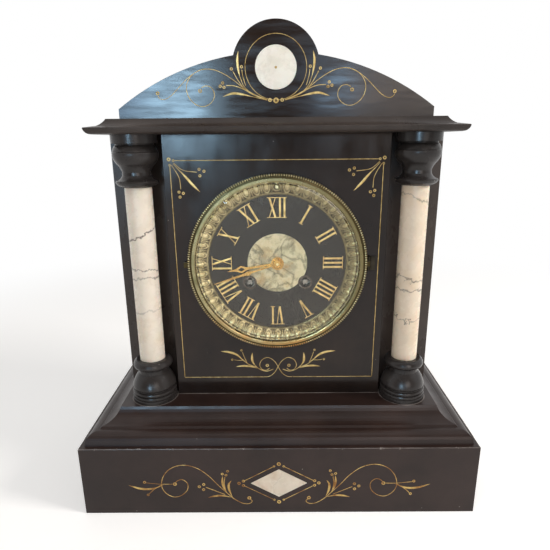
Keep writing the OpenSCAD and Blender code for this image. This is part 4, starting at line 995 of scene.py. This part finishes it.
@dataclass
class Case:
    """Body of the case: front panel, walls and cornice, with a gilt border on the panel."""

    line: float = 0.52
    leaf: float = 1.9
    berry: float = 1.2
    border_side: float = 84.4
    border_top_gap: float = 19.9
    border_foot_gap: float = 16.0

    def build(self) -> list[bpy.types.Object]:
        """Dresses the slabs and adds the border."""
        dress(CASE_SLATE, "front_panel", "side_walls")
        dress(BAY_SLATE, "front_wall")
        dress(CORNICE_SLATE, "cornice")
        dress(SAWN_SLATE, "back_wall")
        for node in ("front_panel", "side_walls", "cornice"):
            soften_edges(node, 0.4)
        return [self.border()]

    def border(self) -> bpy.types.Object:
        """Gilt border with a spray in each top corner. Its lower line curls into two leafy scrolls."""
        panel = extent("front_panel")
        top, foot = panel.hi[2] - self.border_top_gap, panel.lo[2] + self.border_foot_gap
        side = self.border_side
        work = Gilding("panel_gilding", panel.lo[1], (0, foot))
        high = top - foot
        work.stroke([(0, high), (side - 3.8, high)], self.line)
        work.stroke([(side, high - 4.4), (side - 0.4, high / 2), (side - 0.8, 0)], self.line)
        work.stroke([(side - 0.8, 0), (side / 2, 0), (12.8, 0)], self.line)
        work.bead(side + 0.6, high + 0.9, self.berry * 1.25)
        work.bead(side - 2.9, high, self.berry * 0.85)
        work.bead(side + 0.1, high - 3.5, self.berry * 0.85)
        corner_sprays = (
            ([(3, 1.8), (9.8, 7.3), (21.4, 9.2)], [(23, 6.9), (26.8, 8.4), (23.4, 11.9)]),
            ([(1.3, 3.3), (6.8, 13.5), (7.6, 22.6)], [(6, 24.6), (9.4, 25.6), (6.6, 28.6)]),
        )
        for spray in corner_sprays:
            stem, berries = ([(side - u, high - v) for u, v in row] for row in spray)
            work.spray(stem, berries, self.berry, 0.5)
        work.stroke([(side - u, high - v) for u, v in ((2.6, 2.4), (8.5, 9.2), (14, 15.4))], 0.5)
        lance = [(side - u, high - v) for u, v in ((6, 6), (12.6, 13.5), (16.6, 18.2), (23, 24.8))]
        work.stroke(lance, self.leaf, Width.LEAF)
        work.stroke([
            (12.8, 0), (8.3, 0.4), (3.6, 3.8), (-0.4, 10.8), (-3.4, 15.6), (-8.8, 18.9), (-14, 16.9),
            (-16.3, 11.6), (-14, 7.3), (-10.4, 6.6), (-7.6, 8.6)
        ], self.line)
        work.bead(9.6, 11.3, self.berry * 1.2)
        work.stroke([(4, 7.6), (10.4, 5.6), (17, 8.1), (20.6, 11.5)], 0.6)
        work.stroke([(19.6, 10.2), (22.6, 15), (23, 19.4), (22.6, 23.8)], self.leaf, Width.LEAF)
        work.stroke([(17.5, 8.4), (25, 10.4), (31, 10.8), (37.6, 10.2)], self.leaf * 0.9, Width.LEAF)
        work.stroke([(19, 9.6), (26, 12.4), (32, 17.8)], 0.6)
        work.stroke([(29.5, 14.8), (36, 21.4), (42, 24), (50.6, 25.2)], self.leaf, Width.LEAF)
        work.spray([(27.4, 13.6), (29.8, 19.4), (31.5, 24.6)], [(32.1, 26)], self.berry * 0.8, 0.45)
        work.spray([(31, 16.4), (35.6, 16.4), (39.2, 17)], [(40.6, 17)], self.berry * 0.8, 0.45)
        return work.piece()


@dataclass
class Columns:
    """Two marble shafts between turned slate bases and capitals."""

    def build(self) -> list[bpy.types.Object]:
        """Dresses the bases, shafts and capitals."""
        dress(TURNED_SLATE, "column_bases", "column_capitals")
        dress(COLUMN_MARBLE, "column_shafts")
        return []


@dataclass
class Pediment:
    """Arched slab with a round crest, a marble roundel and gilt scrolls."""

    line: float = 0.44
    leaf: float = 1.65
    berry: float = 1.15
    ring_radius: float = 22.85
    dot_radius: float = 0.95

    def build(self) -> list[bpy.types.Object]:
        """Dresses the slab and its roundel, and adds the gilt work."""
        dress(PEDIMENT_SLATE, "pediment")
        dress(ROUNDEL_MARBLE, "roundel_inlay")
        soften_edges("pediment", 0.4)
        return [self.scrolls()]

    def scrolls(self) -> bpy.types.Object:
        """Gilt ring round the roundel, three beads under it, and leafy scrolls on both sides."""
        face, crest = extent("pediment").lo[1], extent("roundel_inlay").mid[2]
        work = Gilding("pediment_gilding", face, (0, crest))
        work.circle(0, 0, self.ring_radius, self.line, 120)
        work.circle(0, 0, self.dot_radius / 2, self.dot_radius, 16)
        work.bead(0, -23.1, self.berry * 1.8)
        work.bead(4.6, -22.8, self.berry * 1.2)
        work.stroke([
            (6.5, -22.7), (16.4, -18.7), (24.7, -13.9), (31.7, -8.6), (38.5, -4.4), (45.2, -1.6), (52, -0.8),
            (58.2, -2.2), (64.2, -6.6), (67.1, -13), (65.9, -19.8), (61.8, -24.8), (56.2, -27.1),
            (50.2, -25.4), (46.6, -20.8), (46.8, -16.2), (49.2, -13.2), (53, -12.5), (56.2, -14)
        ], self.line * 1.1)
        work.bead(57, -16, self.berry * 1.2)
        work.spray([
            (56, -1.4), (61.5, -4), (67.5, -8.4), (74, -14.6), (79.5, -19.5), (84.4, -21.8), (88, -20.8),
            (89, -19)
        ], [(89, -17.4)], self.berry * 1.2, self.line)
        stem = [(8, -22.3), (17.2, -18.9), (24.6, -14.9), (31.5, -12.6), (37.6, -12.3)]
        work.spray(stem, [(41.8, -12.8), (38.9, -13.6), (39.8, -10.5)], self.berry)
        work.stroke([(6.5, -23), (14, -21.2), (20, -19.9)], self.line)
        work.stroke([(16, -20.9), (25, -18.7), (32, -17.9), (40.5, -20.2)], self.leaf, Width.LEAF)
        work.stroke([(19.5, -17.4), (24.2, -12.6), (26.9, -6)], self.line)
        work.stroke([(26.4, -8), (27.9, -1.5), (28.5, 5), (27.6, 11.4)], self.leaf, Width.LEAF)
        work.spray([(24.2, -14.4), (28.2, -8.9), (32, -2.4)], [(33, -0.9)], self.berry, 0.5)
        work.spray([(22.6, -12.8), (24.6, -6), (25.3, -1.2)], [(25.5, 0.5)], self.berry, 0.5)
        return work.piece()


# Half the width of each letter of a numeral, in millimetres
HALF_WIDTHS = {"I": 0.0, "V": 2.3, "X": 2.5}


def ridge(away: np.ndarray, width: float | np.ndarray) -> np.ndarray:
    """A rounded ridge of height 1, by the distance from its line: exp(-(away / width) ** 2)."""
    return np.exp(-((away / width) ** 2))


@dataclass
class Dial:
    """Slate dial with gilt numerals, a marble centre, and a sight ring stamped with egg and dart."""

    inner_radius: float = 38.5
    outer_radius: float = 54.6
    thick: float = 1.6
    thin: float = 0.6
    serif: float = 0.55
    overhang: float = 1.9
    letter_gap: float = 3.7
    eggs: int = 48
    ring_inner: float = 57.3
    ring_outer: float = 67.4
    egg_radius: float = 63.9
    egg_half_length: float = 3.3
    egg_half_width: float = 2.0
    egg_height: float = 0.95
    shell_height: float = 0.62
    shell_end: float = 66.4
    dart_height: float = 0.45
    dart_span: tuple[float, float] = (59.3, 67)
    fillets: tuple[tuple[float, float, float], ...] = ((58.4, 0.22, 0.3), (67.1, 0.3, 0.35))
    hole_radius: float = 2.4
    collar_height: float = 0.5
    sunk: float = 0.3
    proud: float = 0.12
    points_across: int = 26
    points_per_egg: int = 22
    hole_points: int = 64
    hole_rows: int = 12

    def __post_init__(self) -> None:
        """Reads the sight ring's outline, and how far out the regulating arbor's hole is."""
        self.outline = front_profile("sight_ring", DIAL_AXIS_HEIGHT)
        self.hole_centre = extent("regulator_arbor").mid[2] - DIAL_AXIS_HEIGHT

    def build(self) -> list[bpy.types.Object]:
        """Dresses the dial and adds its numerals and the sight ring's relief."""
        dress(DIAL_SLATE, "dial_plate")
        dress(DIAL_MARBLE, "dial_centre")
        dress(AGED_BRASS, "dial_mount_ring")
        dress(BLACKENED_BRASS, "winding_bushes")
        dress(STAMPED_BRASS, "sight_ring")
        return [self.numerals(), self.egg_and_dart()]

    def glyphs(self, letters: str) -> tuple[list[tuple[float, float, float, float, float]], float]:
        """Strokes of a Roman numeral.

        Args:
            letters: The numeral, in the letters I, V and X.

        Returns:
            Strokes as their foot and head, each across and up, with a width, and the numeral's whole width.
            Up runs from 0 at the foot to 1 at the head.
        """
        strokes, x = [], 0.0
        for letter in letters:
            half = HALF_WIDTHS[letter]
            x += half
            if letter == "I":
                strokes += [(x, 0, x, 1, self.thick)]
            elif letter == "V":
                strokes += [(x + 0.1, 0, x - half, 1, self.thick), (x + 0.5, 0, x + half, 1, self.thin)]
            else:
                strokes += [(x + half, 0, x - half, 1, self.thick), (x - half, 0, x + half, 1, self.thin)]
            x += half + self.letter_gap
        return strokes, x - self.letter_gap

    def numerals(self) -> bpy.types.Object:
        """Twelve gilt numerals with their feet to the centre, and serifs over all but the point of a V."""
        face = extent("dial_plate").lo[1]
        work = Gilding("dial_numerals", face, (0, DIAL_AXIS_HEIGHT), mirrored=False, rise=0.07)
        tall = self.outer_radius - self.inner_radius
        for hour, letters in enumerate("XII I II III IIII V VI VII VIII IX X XI".split()):
            turn = radians(30 * hour)
            bars, wide = self.glyphs(letters)
            feet = [bar[0] for bar in bars if bar[0] == bar[2] or "X" in letters]
            for level, ends in ((0, feet), (1, [bar[2] for bar in bars])):
                if ends:
                    left, right = min(ends) - self.overhang, max(ends) + self.overhang
                    bars = bars + [(left, level, right, level, self.serif)]
            for x0, y0, x1, y1, width in bars:
                ends = []
                for x, y in ((x0, y0), (x1, y1)):
                    across, up = x - wide / 2, self.inner_radius + y * tall
                    ends.append((across * cos(turn) + up * sin(turn), up * cos(turn) - across * sin(turn)))
                work.stroke(ends, width, Width.BAR)
        return work.piece()

    def relief(self, across: np.ndarray, reach: np.ndarray, half_pitch: np.ndarray, egg: bool) -> np.ndarray:
        """Height of the stamped pattern over the ring, in millimetres.

        The egg is the top of an ellipsoid that is wider outwards, the shell a ridge on a wider ellipse round
        it that fades outwards, the dart a ridge on the border between two eggs that widens outwards, and two
        fillets run along the ring's edges.

        Args:
            across: Distance from the egg's own radius, along the ring.
            reach: Distance from the dial's centre.
            half_pitch: Half the room of one egg at that distance.
            egg: False where the egg gives way to the regulating arbor's hole.
        """
        start, end = self.dart_span
        window = np.clip((reach - start) / 1.5, 0, 1) * np.clip(end - reach, 0, 1)
        dart_width = 0.18 + 0.05 * (reach - 59)
        height = self.dart_height * ridge(half_pitch - np.abs(across), dart_width) * window
        if egg:
            along = (reach - self.egg_radius) / self.egg_half_length
            away = np.hypot(across / (self.egg_half_width * (1 + 0.14 * np.clip(along, -1, 1))), along)
            fade = np.clip((self.shell_end - reach) / 0.8, 0, 1)
            height = np.maximum(height, self.egg_height * np.sqrt(np.clip(1 - away**2, 0, 1)))
            height = np.maximum(height, self.shell_height * ridge(away - 1.42, 0.15) * fade)
        else:
            from_hole = np.hypot(across, reach - self.hole_centre) - self.hole_radius
            height = np.maximum(height, self.collar_height * ridge(from_hole - 0.6, 0.4))
        return height + sum(rise * ridge(reach - radius, width) for radius, rise, width in self.fillets)

    def placed(self, across: np.ndarray, reach: np.ndarray, lift: np.ndarray | float) -> np.ndarray:
        """Points of the ring: across is bent round the dial's centre, and lift stands forward."""
        angle = across / reach
        x, z = reach * np.sin(angle), DIAL_AXIS_HEIGHT + reach * np.cos(angle)
        return np.stack([x, np.interp(reach, *self.outline) - self.proud - lift, z], axis=-1)

    def shine(self, lift: np.ndarray) -> np.ndarray:
        """Painted brightness of the relief: painted shade in the hollows, painted highlight near the top."""
        return np.clip(lift / 0.45, 0, 1) ** 0.7

    def egg_and_dart(self) -> bpy.types.Object:
        """The ring's relief: 47 eggs, and a collared hole at XII where the regulating arbor shows."""
        pitch = tau / self.eggs
        stations = self.points_per_egg * (self.eggs - 1) + 1
        angle, reach = np.meshgrid(
            np.linspace(pitch / 2, tau - pitch / 2, stations),
            np.linspace(self.ring_inner, self.ring_outer, self.points_across), indexing="ij"
        )
        within = (angle + pitch / 2) % pitch - pitch / 2
        lift = self.relief(within * reach, reach, pitch / 2 * reach, True)
        front, back = self.placed(angle * reach, reach, lift), self.placed(angle * reach, reach, -self.sunk)
        ring = Surface.plate(front[::-1], back[::-1], self.shine(lift)[::-1])
        surface = Surface.joined([ring, self.hole_patch(pitch)])
        return make_piece("egg_and_dart", surface, STAMPED_BRASS, "root", 75)

    def hole_patch(self, pitch: float) -> Surface:
        """The cell at XII: a sheet drawn from the hole's circle out to the cell's four sides."""
        angle = np.arange(self.hole_points) / self.hole_points * tau
        out = np.stack([np.cos(angle), np.sin(angle)], axis=1)
        centre = np.array([0, self.hole_centre])
        half = pitch / 2 * self.egg_radius
        low, high = np.array([-half, self.ring_inner]), np.array([half, self.ring_outer])
        room = np.where(out > 0, high - centre, centre - low) / np.maximum(np.abs(out), 1e-9)
        inner, outer = centre + out * self.hole_radius, centre + out * room.min(axis=1)[:, None]
        share = np.linspace(0, 1, self.hole_rows)[:, None]
        sheet = inner[:, None, :] * (1 - share) + outer[:, None, :] * share
        reach = sheet[..., 1]
        across = sheet[..., 0] * reach / self.egg_radius
        lift = self.relief(across, reach, pitch / 2 * reach, False)
        front, back = self.placed(across, reach, lift), self.placed(across, reach, -self.sunk)
        shine = np.concatenate([self.shine(lift), np.zeros(lift.shape)], axis=1)
        return Surface.ring(np.concatenate([front, back[:, ::-1]], axis=1), shine)


@dataclass
class Bezel:
    """Hinged bezel: milled edge, rolled brass, bevelled glass."""

    teeth: int = 236
    tooth_depth: float = 0.95
    step_depth: float = 1.9
    section_radius: float = 1.05
    points_per_tooth: int = 4
    section_points: int = 10

    def build(self) -> list[bpy.types.Object]:
        """Dresses the bezel and adds its milled edge."""
        dress(BEZEL_BRASS, "bezel_ring")
        dress(BLACK_BRASS, "bezel_hinge_leaf", "bezel_hinge_pin")
        dress(BEVELLED_GLASS, "bezel_glass")
        return [self.milling()]

    def milling(self) -> bpy.types.Object:
        """The milled edge: a rolled section carried round the dial's axis, its outer side cut into teeth.

        The section is nearly a circle, on the step behind the bezel's front. Its outer half swings in and out
        with the cosine of the angle times the number of teeth.
        """
        bezel = extent("bezel_ring")
        middle = (bezel.hi[2] - bezel.lo[2]) / 2 - self.section_radius
        stations = self.teeth * self.points_per_tooth
        angle = (np.arange(stations) / stations * tau)[:, None]
        turn = (np.arange(self.section_points) / self.section_points * tau)[None, :]
        wave = 0.5 + 0.5 * np.cos(angle * self.teeth)
        bulge = np.clip(np.cos(turn - pi / 5) + 0.35, 0, 1)
        swing = self.tooth_depth * (wave - 0.55) * bulge
        reach = middle + self.section_radius * np.cos(turn) + swing
        depth = bezel.lo[1] + self.step_depth + 0.35 - np.sin(turn) - 0.5 * swing
        points = np.stack([reach * np.sin(angle), depth, DIAL_AXIS_HEIGHT + reach * np.cos(angle)], axis=-1)
        # Painted brightness: bright on the tooth tips, near black between the teeth
        shine = np.broadcast_to(wave**1.5, reach.shape)
        return make_piece("bezel_milling", Surface.ring(points, shine), MILLED_BRASS, "bezel", 50)


@dataclass
class Hands:
    """Gilt hour and minute hands with a turned boss on their arbor."""

    boss_profile: tuple[tuple[float, float], ...] = (
        (1.15, 0), (4.0, 0.0), (4.0, 0.35), (3.4, 0.7), (2.9, 0.45), (2.3, 0.55), (2.1, 1.1), (1.6, 1.25),
        (1.15, 1.2)
    )
    seat: float = 1.1
    boss_points: int = 48

    def build(self) -> list[bpy.types.Object]:
        """Dresses the hands and adds the boss."""
        dress(GILT_HANDS, "minute_hand", "hour_hand")
        return [self.boss()]

    def boss(self) -> bpy.types.Object:
        """Turned washer round the minute hand's collet: a profile carried round the dial's axis."""
        radius, rise = np.array(self.boss_profile).T
        angle = (np.arange(self.boss_points) / self.boss_points * tau)[:, None]
        x, z = radius * np.sin(angle), DIAL_AXIS_HEIGHT + radius * np.cos(angle)
        y = np.broadcast_to(extent("minute_hand").lo[1] + self.seat - rise, x.shape)
        surface = Surface.ring(np.stack([x, y, z], axis=-1))
        return make_piece("hand_boss", surface, GILT_HANDS, "minute_work", 30)


@dataclass
class Movement:
    """Round striking movement between two brass plates, with its bell and pendulum."""

    def build(self) -> list[bpy.types.Object]:
        """Dresses the wheels, plates, steel work and bell."""
        dress(
            CLOCK_BRASS, "front_plate", "back_plate", "plate_pillars", "hour_wheel", "minute_wheel",
            "centre_wheel", "going_barrel", "intermediate_wheel", "third_wheel", "escape_wheel",
            "strike_barrel", "pin_wheel", "locking_wheel", "fly", "count_wheel", "suspension_cock",
            "suspension_chops", "pendulum_bob", "rating_nut", "regulator_arbor"
        )
        dress(
            STEEL, "going_click", "strike_click", "pallets_and_crutch", "hammer", "bell_stand", "pendulum_rod"
        )
        dress(OILED_STEEL, "going_winding_arbor", "strike_winding_arbor")
        dress(BLUED_STEEL, "movement_screws")
        dress(BACK_BRASS, "movement_straps")
        dress(BELL_METAL, "bell")
        return []


@dataclass
class Back:
    """Brass ring in the back wall with its pierced door."""

    def build(self) -> list[bpy.types.Object]:
        """Dresses the ring and the door."""
        dress(BACK_BRASS, "back_ring", "back_door")
        return []


# Studio

@dataclass
class Studio:
    """Pale floor, soft light and the photograph's camera."""

    eye: tuple[float, float, float] = (0.258, -409.66, 304.42)
    pitch: float = 15.847
    pan: float = 0.3425
    roll: float = -0.5197
    lens: float = 30.955
    sensor: float = 36.0
    floor_half: float = 6000.0
    target: tuple[float, float, float] = (0, -40, 230)
    ambient: float = 0.38
    ambient_colour: str = "#fffefc"
    room: float = 0.36
    room_colour: str = "#ecdacb"

    def build(self) -> None:
        """Makes the camera, the floor, the lamps and the world."""
        self.camera()
        self.floor()
        self.lamps()
        self.world()
        bpy.context.scene.view_settings.view_transform = "Standard"

    def camera(self) -> None:
        """A camera that looks along the pitched and panned direction, turned a little about it."""
        data = bpy.data.cameras.new("camera")
        data.lens, data.sensor_width = self.lens, self.sensor
        data.clip_start, data.clip_end = 0.01, 50.0
        pitch, pan, roll = radians(self.pitch), radians(self.pan), radians(self.roll)
        ahead = Vector((-sin(pan) * cos(pitch), cos(pan) * cos(pitch), -sin(pitch)))
        level = Vector((cos(pan), sin(pan), 0))
        upward = level.cross(ahead)
        across = level * cos(roll) + upward * sin(roll)
        above = -level * sin(roll) + upward * cos(roll)
        turn = Matrix((across, above, -ahead)).transposed().to_4x4()
        made = bpy.data.objects.new("camera", data)
        made.matrix_world = Matrix.Translation(Vector(self.eye) * MM) @ turn
        bpy.context.scene.collection.objects.link(made)
        bpy.context.scene.camera = made

    def floor(self) -> None:
        """A sheet of paper under the clock."""
        half = self.floor_half * MM
        corners = [(x * half, y * half, 0) for x, y in ((-1, -1), (1, -1), (1, 1), (-1, 1))]
        mesh = bpy.data.meshes.new("floor")
        mesh.from_pydata(corners, [], [(0, 1, 2, 3)])
        mesh.materials.append(PAPER.material())
        made = bpy.data.objects.new("floor", mesh)
        bpy.context.scene.collection.objects.link(made)

    def lamps(self) -> None:
        """A cool window behind the camera that shows only in the polish, and two boxes that only light.

        Each lamp has its place and size in millimetres, its radiance and its colour.
        """
        target = Vector(self.target) * MM
        for name, place, size, radiance, colour, in_polish in (
            ("window", (-766, -3500, 600), (500, 680), 34.0, "#b2dcf8", True),
            ("window_side", (-1190, -3500, 600), (330, 620), 17.0, "#a6cbee", True),
            ("window_pane", (450, -3500, 728), (270, 400), 13.0, "#b4dafb", True),
            ("curtain", (1250, -3500, 1100), (1400, 1300), 4.2, "#fff6f0", True),
            ("soft_box", (-300, -900, 1700), (1500, 1100), 1.9, "#fffdfa", False),
            ("side_box", (1330, -440, 960), (420, 460), 26.5, "#fffaf5", False),
        ):
            data = bpy.data.lights.new(name, "AREA")
            data.shape = "RECTANGLE"
            data.size, data.size_y = (s * MM for s in size)
            data.energy = radiance * pi * data.size * data.size_y
            data.color = linear(colour)[:3]
            made = bpy.data.objects.new(name, data)
            made.location = Vector(place) * MM
            made.rotation_euler = (target - made.location).to_track_quat("-Z", "Y").to_euler()
            made.visible_glossy, made.visible_diffuse = in_polish, not in_polish
            bpy.context.scene.collection.objects.link(made)

    def world(self) -> None:
        """White where it is seen, and a soft grey where it lights the clock.

        In the polish a dimmer, warmer room shows where a direction points to the front.
        """
        world = bpy.data.worlds.new("studio")
        bpy.context.scene.world = world
        world.use_nodes = True
        tree = world.node_tree
        tree.nodes.clear()
        y = add_node(tree, "SeparateXYZ", {0: add_node(tree, "TexCoord")["Generated"]})[1]
        polish = add_node(tree, "LightPath")["Is Glossy Ray"]
        forwards = {"Value": y, "From Min": -0.35, "From Max": -0.75, "To Max": polish}
        in_room = add_node(tree, "MapRange", forwards, interpolation_type="SMOOTHSTEP")[0]
        dimmed = add_node(tree, "MapRange", {"Value": in_room, "To Min": 1.0, "To Max": self.room})[0]
        tinged = painted(tree, "#ffffff", [(in_room, self.room_colour)])
        white = add_node(tree, "Background", {"Color": tinged, "Strength": dimmed})[0]
        light = add_node(tree, "Background", {"Color": self.ambient_colour, "Strength": self.ambient})[0]
        mixed = add_node(tree, "MixShader", {0: seen_directly(tree), 1: light, 2: white})[0]
        add_node(tree, "OutputWorld", {"Surface": mixed})


def main() -> None:
    """Builds the sub-assemblies in order and reports each piece."""
    logging.basicConfig(level=logging.INFO, format="%(name)s: %(message)s")
    Studio().build()
    for part in (Plinth(), Case(), Columns(), Pediment(), Dial(), Bezel(), Hands(), Movement(), Back()):
        pieces = part.build()
        LOG.info("%s dressed", type(part).__name__)
        for piece in pieces:
            LOG.info("%s made, %d faces", piece.name, len(piece.data.polygons))


if __name__ == "__main__":
    main()
